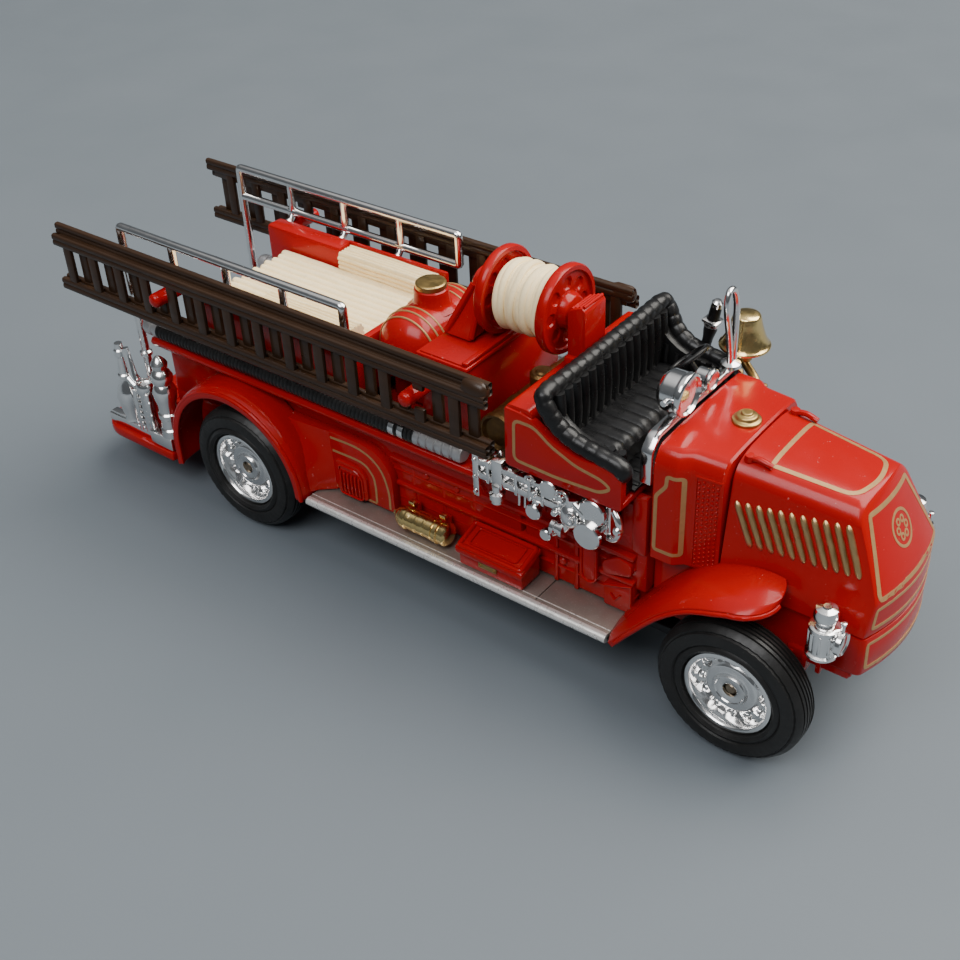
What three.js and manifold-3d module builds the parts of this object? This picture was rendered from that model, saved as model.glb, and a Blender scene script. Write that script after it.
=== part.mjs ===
// Toy fire engine: a die-cast pumper with ladders, hose reel and plated fittings.
// Millimetres, +X forwards, +Y to the vehicle's left, +Z up. Inside the vehicle group the rear
// axle is at x = 0, the centre plane at y = 0 and the ground at z = 0.
import * as THREE from "three";
import { mergeVertices } from "three/addons/utils/BufferGeometryUtils.js";
import Module from "manifold-3d";

const wasm = await Module();
wasm.setup();

// ---- Driving dimensions -------------------------------------------------------------------
const GAP = 0.25; // clearance between touching pieces
const WHEELBASE = 72;
const TYRE_RADIUS = 8.8;
const TYRE_WIDTH = 4.5;
const TYRE_CENTRE_Y = 12.15;
const RIM_RADIUS = 5.2;
const AXLE_RADIUS = 0.75;
const AXLE_HALF_LENGTH = 13;
const AXLE_SLOT = AXLE_RADIUS + 0.3;

const REAR_END_X = -30.5; // tips of the ladders
const NOSE_X = 85.4; // furthest point of the bonnet
const MIDDLE_X = (REAR_END_X + NOSE_X) / 2;

const DECK_LOW_Z = 9.9; // chassis deck
const DECK_TOP_Z = 12.4;
const DECK_HALF_WIDTH = 7.6;
const BOARD_TOP_Z = 9;
const BOARD_REAR_X = 11.4;
const BOARD_FRONT_X = 56.8;
const FENDER_LIP_Y = 14.4;
const SHEET = 1.1; // wall thickness of fenders and boards

const BODY_HALF_WIDTH = 9.1;
const LEDGE_TOP_Z = 22.2;
const BED_HALF_WIDTH = 9.4;
const BED_TOP_Z = 33;
const BED_REAR_X = -11.5;
const BED_FRONT_X = 18;
const BED_FLOOR_Z = 24;
const LOCKER_TOP_Z = 34.3;
const REEL_Z = 39.5;
const REEL_RADIUS = 5.2;
const REEL_PIN = 0.7; // radius of the reel's two end pins

const CAB_REAR_X = 42.4;
const CAB_HALF_WIDTH = 12.3;
const CAB_FLOOR_Z = 26;
const COWL_REAR_X = 59.4;
const COWL_FRONT_X = 67;
const COWL_HALF_WIDTH = 9.5;
const HOOD_BOTTOM_Z = 18.5;
const APRON_BOTTOM_Z = 13.2;

const LADDER_FRONT_X = 41.2;
const LADDER_OUTER_Y = 14.1;
const LADDER_LAYER = 0.85; // thickness of each of the two sections
const RUNG_PITCH = 5;
const PEG_Z = 31.4;
const PEG_XS = [-10.4, 30.6];
const RAIL_Y = 11.5;
const RAIL_TOP_Z = 37.6;
const RAIL_LOW_Z = 33.4;
const RAIL_REAR_X = -19.9;
const RAIL_FRONT_X = 18.6;
const TAILBOARD_TOP_Z = 6.4;

// ---- Materials ------------------------------------------------------------------------------
const finish = (color, roughness, metalness) =>
  new THREE.MeshStandardMaterial({ color, roughness, metalness });
const RED = finish(0xc3140f, 0.25, 0.1);
const BLACK_BASE = finish(0x1b1b1c, 0.5, 0.2);
const BOARD_GREY = finish(0x7d716b, 0.45, 0.5);
const LADDER_BROWN = finish(0x2f221b, 0.45, 0);
const HOSE_CREAM = finish(0xe9dcc2, 0.8, 0);
const SEAT_BLACK = finish(0x0d0d0e, 0.4, 0);
const CHROME = finish(0xd8dade, 0.12, 1);
const BRASS = finish(0xb08d3e, 0.3, 0.9);
const BRONZE = finish(0x5a3a17, 0.45, 0.6);
const RUBBER = finish(0x141414, 0.7, 0);
const STEEL = finish(0x8a7f70, 0.4, 0.9);

// ---- Solids: every helper returns a closed manifold -------------------------------------------
function solid(geometry) {
  const bare = geometry.clone();
  bare.deleteAttribute("normal");
  bare.deleteAttribute("uv");
  const merged = mergeVertices(bare, 1e-4);
  const p = merged.attributes.position.array;
  const kept = [];
  let volume = 0;
  const corner = (i) => new THREE.Vector3(p[3 * i], p[3 * i + 1], p[3 * i + 2]);
  for (let t = 0; t < merged.index.count; t += 3) {
    const [a, b, c] = [0, 1, 2].map((k) => merged.index.getX(t + k));
    if (a === b || b === c || c === a) continue;
    kept.push(a, b, c);
    volume += corner(a).dot(corner(b).cross(corner(c)));
  }
  if (volume < 0) kept.reverse();
  return new wasm.Manifold(new wasm.Mesh({
    numProp: 3,
    vertProperties: new Float32Array(p),
    triVerts: new Uint32Array(kept),
  }));
}

const union = (...solids) => solids.flat().reduce((whole, next) => whole.add(next));
const without = (whole, ...cuts) => cuts.flat().reduce((left, cut) => left.subtract(cut), whole);

function mirrored(manifold) {
  const mesh = manifold.getMesh();
  const flipped = Float32Array.from(mesh.vertProperties, (v, i) => (i % 3 === 1 ? -v : v));
  const triVerts = Uint32Array.from(mesh.triVerts).reverse();
  return new wasm.Manifold(new wasm.Mesh({ numProp: 3, vertProperties: flipped, triVerts }));
}
const bothSides = (manifold) => manifold.add(mirrored(manifold));

function block(x0, x1, y0, y1, z0, z1) {
  const box = new THREE.BoxGeometry(x1 - x0, y1 - y0, z1 - z0);
  return solid(box.translate((x0 + x1) / 2, (y0 + y1) / 2, (z0 + z1) / 2));
}

const wideBlock = (x0, x1, halfWidth, z0, z1) => block(x0, x1, -halfWidth, halfWidth, z0, z1);

function extruded(points, depth) {
  const shape = new THREE.Shape(points.map(([a, b]) => new THREE.Vector2(a, b)));
  return new THREE.ExtrudeGeometry(shape, { depth, bevelEnabled: false, curveSegments: 8 });
}
// Outlines: [x, z] seen from the side, [x, y] seen from above, [y, z] seen from the front.
const sidePrism = (points, y0, y1) =>
  solid(extruded(points, y1 - y0).rotateX(Math.PI / 2).translate(0, y1, 0));
const planPrism = (points, z0, z1) => solid(extruded(points, z1 - z0).translate(0, 0, z0));
const frontPrism = (points, x0, x1) =>
  solid(extruded(points, x1 - x0).rotateX(Math.PI / 2).rotateZ(Math.PI / 2).translate(x0, 0, 0));

// Cylinder or cone along an axis from a to b; the other two coordinates are in X, Y, Z order.
function rod(axis, radius, a, b, c1, c2, segments = 16, endRadius = radius) {
  const cylinder = new THREE.CylinderGeometry(endRadius, radius, b - a, segments);
  cylinder.translate(0, (a + b) / 2, 0);
  return solid(alongAxis(cylinder, axis, c1, c2));
}

function alongAxis(geometry, axis, c1, c2) {
  if (axis === "x") return geometry.rotateZ(-Math.PI / 2).translate(0, c1, c2);
  if (axis === "z") return geometry.rotateX(Math.PI / 2).translate(c1, c2, 0);
  return geometry.translate(c1, 0, c2);
}

// Turned shape: profile of [radius, distance along the axis].
function turned(axis, profile, c1, c2, segments = 24) {
  const points = profile.map(([r, t]) => new THREE.Vector2(r, t));
  return solid(alongAxis(new THREE.LatheGeometry(points, segments), axis, c1, c2));
}

function tube(points, radius, steps, sides = 8) {
  const section = new THREE.Shape();
  section.absarc(0, 0, radius, 0, 2 * Math.PI);
  const path = new THREE.CatmullRomCurve3(points.map((p) => new THREE.Vector3(...p)));
  const options = { extrudePath: path, steps, bevelEnabled: false, curveSegments: sides };
  return solid(new THREE.ExtrudeGeometry(section, options));
}

const arc = (cx, cy, radius, from, to, steps) =>
  Array.from({ length: steps + 1 }, (_, i) => {
    const angle = THREE.MathUtils.degToRad(from + ((to - from) * i) / steps);
    return [cx + radius * Math.cos(angle), cy + radius * Math.sin(angle)];
  });

// Closed sheet between two surfaces; face(u, v) and back(u, v) give [x, y, z] for u, v in 0..1.
function sheet(nu, nv, face, back) {
  const vertices = [];
  const index = [];
  const rows = nv + 1;
  const layer = (nu + 1) * rows;
  for (const surface of [face, back]) {
    for (let i = 0; i <= nu; i++) {
      for (let j = 0; j <= nv; j++) vertices.push(...surface(i / nu, j / nv));
    }
  }
  const quad = (a, b, c, d) => index.push(a, b, c, a, c, d);
  const at = (i, j) => i * rows + j;
  for (let i = 0; i < nu; i++) {
    for (let j = 0; j < nv; j++) {
      const [a, b, c, d] = [at(i, j), at(i + 1, j), at(i + 1, j + 1), at(i, j + 1)];
      quad(a, b, c, d);
      quad(a + layer, d + layer, c + layer, b + layer);
    }
  }
  const wall = (a, b) => quad(a, a + layer, b + layer, b);
  for (let i = 0; i < nu; i++) {
    wall(at(i, 0), at(i + 1, 0));
    wall(at(i + 1, nv), at(i, nv));
  }
  for (let j = 0; j < nv; j++) {
    wall(at(nu, j), at(nu, j + 1));
    wall(at(0, j + 1), at(0, j));
  }
  const geometry = new THREE.BufferGeometry();
  geometry.setAttribute("position", new THREE.Float32BufferAttribute(vertices, 3));
  geometry.setIndex(index);
  return solid(geometry);
}

// Straight loft between two outlines with the same number of points.
function loft(from, to) {
  const count = from.length;
  const middle = (ring) => [0, 1, 2].map((k) => ring.reduce((sum, p) => sum + p[k], 0) / count);
  const vertices = [...from, ...to, middle(from), middle(to)].flat();
  const index = [];
  for (let i = 0; i < count; i++) {
    const j = (i + 1) % count;
    index.push(i, j, count + j, i, count + j, count + i);
    index.push(2 * count, j, i, 2 * count + 1, count + i, count + j);
  }
  const geometry = new THREE.BufferGeometry();
  geometry.setAttribute("position", new THREE.Float32BufferAttribute(vertices, 3));
  geometry.setIndex(index);
  return solid(geometry);
}

// ---- Assembly -----------------------------------------------------------------------------------
const engine = new THREE.Group();
engine.position.x = -MIDDLE_X;

function part(name, manifold, material) {
  const { vertProperties, triVerts } = manifold.getMesh();
  const geometry = new THREE.BufferGeometry();
  geometry.setAttribute("position", new THREE.BufferAttribute(vertProperties, 3));
  geometry.setIndex(new THREE.BufferAttribute(triVerts, 1));
  geometry.computeVertexNormals();
  const mesh = new THREE.Mesh(geometry, material);
  mesh.name = name;
  engine.add(mesh);
}

// The right side is the -Y side; the left piece is its mirror image.
function pair(name, rightPiece, material) {
  part(`${name}_right`, rightPiece, material);
  part(`${name}_left`, mirrored(rightPiece), material);
}

// ---- Running gear -------------------------------------------------------------------------------
function tyre(x) {
  const half = TYRE_WIDTH / 2;
  const bead = RIM_RADIUS + GAP;
  const side = [[bead, half - 0.2], [7.9, half], [TYRE_RADIUS, half - 1.2]];
  const inward = [...side].reverse().map(([r, t]) => [r, -t]);
  const profile = [...side, ...inward, side[0]].map(([r, t]) => [r, t - TYRE_CENTRE_Y]);
  return turned("y", profile, x, TYRE_RADIUS, 32);
}

function wheel(x) {
  const bore = AXLE_RADIUS + GAP;
  const profile = [
    [bore, 1.6], [RIM_RADIUS, 1.9], [RIM_RADIUS, -1.8], [4.6, -1.8], [4.2, -0.5], [2.3, -1.1],
    [bore, -1.1], [bore, 1.6],
  ];
  return turned("y", profile.map(([r, t]) => [r, t - TYRE_CENTRE_Y]), x, TYRE_RADIUS, 24);
}

function runningGear() {
  for (const [end, x] of [["front", WHEELBASE], ["rear", 0]]) {
    const axle = rod("y", AXLE_RADIUS, -AXLE_HALF_LENGTH, AXLE_HALF_LENGTH, x, TYRE_RADIUS, 12);
    part(`${end}_axle`, axle, STEEL);
    pair(`${end}_wheel`, wheel(x), CHROME);
    pair(`${end}_tyre`, tyre(x), RUBBER);
  }
}

// ---- Chassis ------------------------------------------------------------------------------------
function chassisFrame() {
  const axleXs = [0, WHEELBASE];
  const deck = wideBlock(-13.8, 77.6, DECK_HALF_WIDTH, DECK_LOW_Z, DECK_TOP_Z);
  const engineBearer = wideBlock(59, 77.6, 7.4, DECK_TOP_Z - 0.1, HOOD_BOTTOM_Z - GAP);
  const tailRiser = wideBlock(-20, -13.7, 6.8, TAILBOARD_TOP_Z + GAP, DECK_TOP_Z);
  const hangers = axleXs.map((x) => bothSides(block(x - 3.2, x + 3.2, 5.2, 8.4, 7.95, 10)));
  const slots = axleXs.map((x) =>
    wideBlock(x - AXLE_SLOT, x + AXLE_SLOT, 9, 5, TYRE_RADIUS + AXLE_SLOT));
  return without(union(deck, engineBearer, tailRiser, hangers), slots);
}

const RIVET_XS = [18, 48];

function basePlate() {
  const plate = wideBlock(-12, 76, 7.4, 6.6, TYRE_RADIUS - AXLE_SLOT);
  const sump = wideBlock(53, 66, 3, 5.2, 6.7);
  const gearbox = wideBlock(24, 40, 2.4, 5.4, 6.7);
  const shaft = wideBlock(0, 54, 0.8, 5.8, 6.7);
  const holes = RIVET_XS.map((x) => rod("z", 1.1 + GAP, 4, 9, x, -4.6, 12));
  return without(union(plate, sump, gearbox, shaft), holes);
}

function rivet(x) {
  const head = 6.35;
  const [shank, top] = [1.1, DECK_LOW_Z - GAP];
  const dome = [[0, head - 0.9], [1.2, head - 0.7], [1.9, head]];
  const profile = [...dome, [shank, head], [shank, top], [0, top]];
  return turned("z", profile, x, -4.6, 12);
}

// The fender's crown is a sheet swept from the body out to the lip; it falls `drop` on the way.
function fenderSheet(profile, innerY, drop, steps) {
  const face = (lift) => (u, v) => {
    const { x, z, nx, nz } = profile(u);
    return [x - nx * lift, -(innerY + (FENDER_LIP_Y - innerY) * v), z - nz * lift + drop * (1 - v)];
  };
  return sheet(steps, 2, face(0), face(SHEET));
}

function rearFender() {
  const [cx, cz, radius] = [-1.1, 8.3, 12.1];
  const legBottom = 5;
  const arch = (u) => {
    if (u < 0.1) return { x: cx - radius, z: legBottom + (cz - legBottom) * u * 10, nx: -1, nz: 0 };
    const angle = Math.PI * (1 - (u - 0.1) / 0.9);
    const [nx, nz] = [Math.cos(angle), Math.sin(angle)];
    return { x: cx + radius * nx, z: cz + radius * nz, nx, nz };
  };
  return fenderSheet(arch, BODY_HALF_WIDTH + GAP, 0.5, 20);
}

function frontFenderPath() {
  const rise = [[57.2, 9.1], [60.2, 13], [63.2, 16.4], [66.5, 18.9]];
  const points = [...rise, [70, 20.3], [73, 20.8], [75.8, 20.6]];
  return new THREE.CatmullRomCurve3(points.map(([x, z]) => new THREE.Vector3(x, 0, z)));
}

function frontFender() {
  const path = frontFenderPath();
  const profile = (u) => {
    const p = path.getPoint(u);
    const t = path.getTangent(u);
    return { x: p.x, z: p.z, nx: -t.z, nz: t.x };
  };
  const crown = fenderSheet(profile, 7.7, 1.3, 16);
  const tip = [[50, -7], [50, -15], [72, -15], ...arc(71.1, -10.1, 4.4, 290, 400, 7), [74, -7]];
  const clearances = [
    wideBlock(40, 68, 9.75, 18.6, 40),
    wideBlock(40, 59.6, BODY_HALF_WIDTH, 0, 40),
    wideBlock(60, 90, 8.25 + GAP, HOOD_BOTTOM_Z - 0.1, 40),
  ];
  return without(crown.intersect(planPrism(tip, 0, 40)), clearances);
}

function runningBoard() {
  const low = BOARD_TOP_Z - SHEET;
  const edge = arc(-13.6, BOARD_TOP_Z - 0.55, 0.55, 90, 270, 6);
  const section = [[-8.3, low], [-8.3, BOARD_TOP_Z], ...edge];
  return frontPrism(section, BOARD_REAR_X, BOARD_FRONT_X);
}

function tailboard() {
  const [front, rear, half, corner] = [-13.6, -29.3, 14.6, 4.5];
  const rearLeft = arc(rear + corner, half - corner, corner, 90, 180, 5);
  const rearRight = arc(rear + corner, corner - half, corner, 180, 270, 5);
  return planPrism([[front, -half], [front, half], ...rearLeft, ...rearRight], 5, TAILBOARD_TOP_Z);
}

function chassis() {
  part("chassis_frame", chassisFrame(), RED);
  part("base_plate", basePlate(), BLACK_BASE);
  RIVET_XS.forEach((x, i) => part(`base_rivet_${i ? "front" : "rear"}`, rivet(x), STEEL));
  pair("rear_fender", rearFender(), RED);
  pair("front_fender", frontFender(), RED);
  pair("running_board", runningBoard(), BOARD_GREY);
  part("tailboard", tailboard(), RED);
}

// ---- Rear body ----------------------------------------------------------------------------------
const ladderPeg = (x, fromY) =>
  bothSides(union(rod("y", 0.8, fromY, 15, x, PEG_Z, 12), rod("y", 1.05, 14.35, 15.2, x, PEG_Z, 12)));

function hoseBody() {
  const lower = wideBlock(-17, 42, BODY_HALF_WIDTH, DECK_TOP_Z + GAP, LEDGE_TOP_Z);
  const aprons = bothSides(block(12.9, 42, DECK_HALF_WIDTH + 0.3, BODY_HALF_WIDTH, 9.2, 13));
  const ledge = wideBlock(-17.4, 37.4, 11.6, LEDGE_TOP_Z - 1, LEDGE_TOP_Z);
  const skirtOutline = [[12.9, 9.2], [23.3, 9.2], ...arc(18.7, 13.6, 4.6, 0, 90, 6), [12.9, 18.2]];
  const skirts = bothSides(sidePrism(skirtOutline, 9, 10.3));
  const bed = wideBlock(BED_REAR_X, BED_FRONT_X, BED_HALF_WIDTH, LEDGE_TOP_Z - 0.1, BED_TOP_Z);
  const well = wideBlock(BED_REAR_X - 1, BED_FRONT_X - 0.9, 6.6, BED_FLOOR_Z, 40);
  const sideBins = wideBlock(1.8, BED_FRONT_X - 0.9, 8.8, BED_FLOOR_Z, 40);
  const lowFront = wideBlock(BED_FRONT_X - 1, BED_FRONT_X + 1, 8.8, 31, 40);
  const shell = without(bed, well, sideBins, lowFront);
  return union(lower, aprons, ledge, skirts, shell, ladderPeg(PEG_XS[0], BED_HALF_WIDTH - 0.2));
}

function hoseLoad() {
  const [rear, front] = [-8, BED_FRONT_X - 1.1];
  const flat = wideBlock(rear, front, 6.3, BED_FLOOR_Z + 0.2, 30.4);
  const stacks = bothSides(block(2.1, front, 6.2, 8.5, BED_FLOOR_Z + 0.2, 32.8));
  return union(flat, stacks);
}

const TANK = { x: 22.9, z: 30.3, radius: 4.6, half: 3.6, dome: 3.6 };

function waterTank() {
  const { x, z, radius, half, dome } = TANK;
  const end = arc(0, 0, 1, 0, 90, 4).map(([t, r]) => [radius * r, half + dome * t]);
  const profile = [...end, ...end.map(([r, t]) => [r, -t]).reverse()];
  const barrel = turned("y", profile, x, z, 20);
  const neck = rod("z", 2.1, z, 36.6, x, 0, 16);
  const saddle = wideBlock(x - 3.2, x + 3.2, half, LEDGE_TOP_Z + GAP, z - 1);
  return union(barrel, neck, saddle);
}

function tankCap() {
  const z = 36.6 + GAP;
  return turned("z", [[0, z], [2.25, z], [2.25, z + 0.5], [1.9, z + 0.7], [0, z + 0.7]], TANK.x, 0, 16);
}

function reelLocker() {
  const box = wideBlock(28, 35, BODY_HALF_WIDTH, LEDGE_TOP_Z + GAP, LOCKER_TOP_Z);
  return union(box, ladderPeg(PEG_XS[1], BODY_HALF_WIDTH - 0.2));
}

function reelBracketRear() {
  const base = LOCKER_TOP_Z + GAP;
  const outline = [[-5, base], [5, base], [1.9, REEL_Z + 1.6], [-1.9, REEL_Z + 1.6]];
  const plate = frontPrism(outline, 31.2, 32.6);
  const struts = bothSides(sidePrism([[28.3, base], [31.3, base], [31.3, 39]], 1.2, 3));
  const bore = rod("x", REEL_PIN + GAP, 28, 34, 0, REEL_Z, 12);
  return without(union(plate, struts), bore);
}

function reelBracketFront() {
  const [rear, front, base, top] = [43.7, 46.1, 33.9 + GAP, 40.9];
  const [tread, riser] = [0.7, 0.35];
  const steps = [0, 1, 2].flatMap((i) => [
    [rear + tread * i, top + riser * i],
    [i < 2 ? rear + tread * (i + 1) : front, top + riser * i],
  ]);
  const body = sidePrism([[rear, base], ...steps, [front, base]], -2.1, 2.1);
  const bore = rod("x", REEL_PIN + GAP, rear - 1, 45.4, 0, REEL_Z, 12);
  return without(body, bore);
}

function hoseReel() {
  const profile = [
    [0, 31.5], [REEL_PIN, 31.5], [REEL_PIN, 33.2], [REEL_RADIUS, 33.2], [REEL_RADIUS, 34.3],
    [2.2, 34.3], [2.2, 41.5], [REEL_RADIUS, 41.5], [REEL_RADIUS, 42.7], [2, 42.7], [1.8, 43.4],
    [REEL_PIN, 43.4], [REEL_PIN, 45.1], [0, 45.1],
  ];
  return turned("x", profile, 0, REEL_Z, 24);
}

function reelHose() {
  const bore = 2.2 + GAP;
  const profile = [
    [bore, 34.55], [3.5, 34.55], [4.3, 36.2], [3.9, 38], [4.4, 39.6], [3.6, 41.25], [bore, 41.25],
    [bore, 34.55],
  ];
  return turned("x", profile, 0, REEL_Z, 24);
}

const BARREL = { x: 38.9, z: 26.7, radius: 2.5 };

function fuelBarrel() {
  const { x, z, radius } = BARREL;
  const barrel = rod("y", radius, -BODY_HALF_WIDTH, BODY_HALF_WIDTH, x, z, 18);
  const feet = bothSides(block(x - 1.4, x + 1.4, 5, 6.4, LEDGE_TOP_Z + GAP, z));
  const filler = rod("z", 1.5, z, 31, x + 0.4, -0.6, 14);
  return union(barrel, feet, filler);
}

function rearBody() {
  part("hose_body", hoseBody(), RED);
  part("hose_load", hoseLoad(), HOSE_CREAM);
  part("water_tank", waterTank(), RED);
  part("tank_cap", tankCap(), BRASS);
  part("reel_locker", reelLocker(), RED);
  part("reel_bracket_rear", reelBracketRear(), RED);
  part("reel_bracket_front", reelBracketFront(), RED);
  part("hose_reel", hoseReel(), RED);
  part("reel_hose", reelHose(), HOSE_CREAM);
  part("fuel_barrel", fuelBarrel(), BRONZE);
}

// ---- Cab, cowl and bonnet -------------------------------------------------------------------------
// Top edge of the cab's side panel: it sweeps down from the seat back and rounds off at the front.
const SWEEP = [[43, 33.9], [45.4, 33.6], [47.4, 32.2], [49.6, 30.9], [52.5, 30.5], [55.8, 30.2]];

function cabBody() {
  const lower = wideBlock(42.4, 58.9, 8.9, DECK_TOP_Z + GAP, 24.4);
  const neck = wideBlock(44, 58.9, 6, 24.3, CAB_FLOOR_Z + 0.1);
  const aprons = bothSides(block(42.4, 57, DECK_HALF_WIDTH + 0.3, 8.9, 9.2, 13));
  const floor = wideBlock(43, 57.6, 12, CAB_FLOOR_Z, CAB_FLOOR_Z + 0.7);
  const back = wideBlock(CAB_REAR_X, 46.1, 12, CAB_FLOOR_Z, 33.9);
  const nose = arc(56.2, 28.1, 2.1, 90, -60, 7);
  const outline = [[42.6, 33.9], ...SWEEP, ...nose, [CAB_REAR_X, 26.2]];
  const panels = bothSides(sidePrism(outline, 11.3, CAB_HALF_WIDTH));
  return union(lower, neck, aprons, floor, back, panels);
}

function benchSeat() {
  const floor = CAB_FLOOR_Z + 0.7 + GAP;
  const back = wideBlock(46.35, 48.7, 11, floor, 36.2);
  const cushion = wideBlock(48.6, 54.4, 11, floor, 30);
  const armTop = [[48, 36], [50, 32.6], [53, 31.6], [56.6, 31.2], [57.4, 29]];
  const arms = bothSides(sidePrism([[48, floor], ...armTop, [57.4, floor]], 9.8, 11));
  const roll = rod("y", 0.85, -13, 13, 47.6, 36.3, 10);
  return union(back, cushion, arms, roll);
}

function steeringWheel() {
  const centre = [54.6, 5.6, 34.4];
  const rim = new THREE.TorusGeometry(2.5, 0.32, 6, 18);
  const spoke = () => new THREE.BoxGeometry(5, 0.45, 0.4);
  const column = new THREE.CylinderGeometry(0.4, 0.4, 4.6, 8);
  column.rotateX(-Math.PI / 2).translate(0, 0, -2.2);
  const tilted = (g) => solid(g.rotateY(-0.75).translate(...centre));
  return union(tilted(rim), tilted(spoke()), tilted(spoke().rotateZ(Math.PI / 2)), tilted(column));
}

function cowl() {
  const base = 18.9;
  const side = [[COWL_REAR_X, base], [COWL_FRONT_X, base], [COWL_FRONT_X, 32.7], [COWL_REAR_X, 33.3]];
  const half = [[-COWL_HALF_WIDTH, base], [-COWL_HALF_WIDTH, 31], [-8.6, 33.4]];
  const front = [...half, ...half.map(([y, z]) => [-y, z]).reverse()];
  const flank = [[COWL_REAR_X, -COWL_HALF_WIDTH], [62.4, -COWL_HALF_WIDTH], [63.9, -8.7]];
  const near = [...flank, [COWL_FRONT_X, -8.2]];
  const plan = [...near, ...near.map(([x, y]) => [x, -y]).reverse()];
  const hull = sidePrism(side, -10, 10).intersect(frontPrism(front, 59, 68));
  return hull.intersect(planPrism(plan, 18, 34));
}

// Bonnet sections, one side: [y, z] from the centre of the top down to the bottom edge.
const HOOD_REAR = [[5.2, 32.8], [6.4, 31.7], [8.2, 20.5], [8.2, HOOD_BOTTOM_Z]];
const HOOD_FRONT = [[3.4, 31.1], [4.7, 30.1], [7.9, 20.5], [8.2, HOOD_BOTTOM_Z]];
const hoodRing = (x, half) =>
  [...half.map(([y, z]) => [x, y, z]), ...half.map(([y, z]) => [x, -y, z]).reverse()];

// Front face of the bonnet: leans forwards going down and bulges in the middle.
function noseX(y, z) {
  const lean = 0.53 * Math.max(0, z - 22.6);
  return NOSE_X - lean - (y * y) / 40;
}

function noseCutter() {
  const [low, high, half] = [12, 34, 9];
  const point = (u, v) => [(2 * u - 1) * half, low + (high - low) * v];
  const front = (u, v) => {
    const [y, z] = point(u, v);
    return [noseX(y, z), y, z];
  };
  return sheet(8, 8, front, (u, v) => [60, ...point(u, v)]);
}

function hood() {
  const raw = loft(hoodRing(COWL_FRONT_X + GAP, HOOD_REAR), hoodRing(87, HOOD_FRONT));
  return raw.intersect(noseCutter());
}

function frontApron() {
  const top = HOOD_BOTTOM_Z - GAP;
  const panel = wideBlock(78, 90, 8.2, APRON_BOTTOM_Z, top).intersect(noseCutter());
  const springs = bothSides(block(77.9, 82.4, 6.2, 8, 11.4, APRON_BOTTOM_Z + 0.1));
  const eyes = bothSides(rod("y", 1.1, 6, 8.2, 79.2, 11.4, 12));
  return union(panel, springs, eyes);
}

function radiatorCap() {
  const z = 33.05;
  const profile = [[0, z], [1.8, z], [1.8, z + 0.5], [1.2, z + 0.8], [0.6, z + 1.3], [0, z + 1.3]];
  return turned("z", profile, 64.9, 0, 16);
}

function frontBody() {
  part("cab_body", cabBody(), RED);
  part("bench_seat", benchSeat(), SEAT_BLACK);
  part("steering_wheel", steeringWheel(), SEAT_BLACK);
  part("cowl", cowl(), RED);
  part("hood", hood(), RED);
  part("front_apron", frontApron(), RED);
  part("radiator_cap", radiatorCap(), BRASS);
}

// ---- Dash and its fittings --------------------------------------------------------------------------
const DASH_TOP_Z = 34;
const BELL = { x: 58.2, y: 11.8, low: 34.3, high: 38.5 };

function dashTrim() {
  const [rear, front] = [58.5, COWL_REAR_X - GAP];
  const strip = wideBlock(rear, front, 9.4, 32, DASH_TOP_Z);
  const drops = bothSides(block(rear, front, 8.8, 9.7, 28.4, 33.2));
  const lampY = 1.9;
  const lampPost = rod("z", 0.5, DASH_TOP_Z - 0.2, 35.2, 58.8, lampY, 8);
  const lamp = rod("x", 1.1, 57.8, 59.9, lampY, 35.4, 14);
  return union(strip, drops, lampPost, lamp);
}

function searchlight() {
  const z = 36.8;
  const profile = [[0, 57.2], [1.6, 57.2], [2.4, 57.8], [2.4, 60.2], [2.1, 60.4], [0, 60.4]];
  const drum = turned("x", profile, -4, z, 20);
  const foot = rod("z", 0.5, DASH_TOP_Z + GAP, z, 58.8, -4, 8);
  return union(drum, foot);
}

function grabLoop() {
  const [low, half] = [DASH_TOP_Z + GAP, 0.75];
  const bend = arc(0, 42.6, half, 0, 180, 4).map(([y, z]) => [58.3, 6.4 + y, z]);
  const leg = (side) => [[58.9, 7.5 + side * half, low], [58.7, 7 + side * half, 38]];
  return tube([...leg(1), ...bend, ...leg(-1).reverse()], 0.38, 14, 3);
}

function bell() {
  const { x, y, low, high } = BELL;
  const profile = [
    [0, high], [0.9, high], [1.7, high - 0.9], [2.05, high - 2.5], [2.95, low + 0.4], [2.95, low],
    [2.4, low], [1.55, high - 2.5], [1.2, high - 1.3], [0, high - 0.9],
  ];
  return turned("z", profile, x, y, 18);
}

function bellBracket() {
  const { x, y, high } = BELL;
  const [post, inner, front] = [0.6, COWL_HALF_WIDTH + GAP, 62.4];
  const stem = rod("z", post, 31.2, high - 1.4, x, y, 10);
  const arm = block(x - post, front, inner, y + post, 31, 32);
  const foot = block(front - 2, front, inner, 10.6, 27.5, 31.5);
  return union(stem, arm, foot);
}

function handHorn() {
  const [x, y] = [52.3, 13.1];
  const body = turned("z", [[0, 30], [0.6, 30], [0.7, 33.6], [1.1, 34], [1.1, 34.8], [0.6, 35],
    [0.7, 38], [0, 38.2]], x, y, 12);
  const clip = block(x - 0.6, x + 0.6, CAB_HALF_WIDTH + GAP, y, 28.8, 30.4);
  return union(body, clip);
}

function dash() {
  part("dash_trim", dashTrim(), CHROME);
  part("searchlight", searchlight(), CHROME);
  part("grab_loop", grabLoop(), CHROME);
  part("bell", bell(), BRASS);
  part("bell_bracket", bellBracket(), BRASS);
  part("hand_horn", handHorn(), SEAT_BLACK);
}

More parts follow.
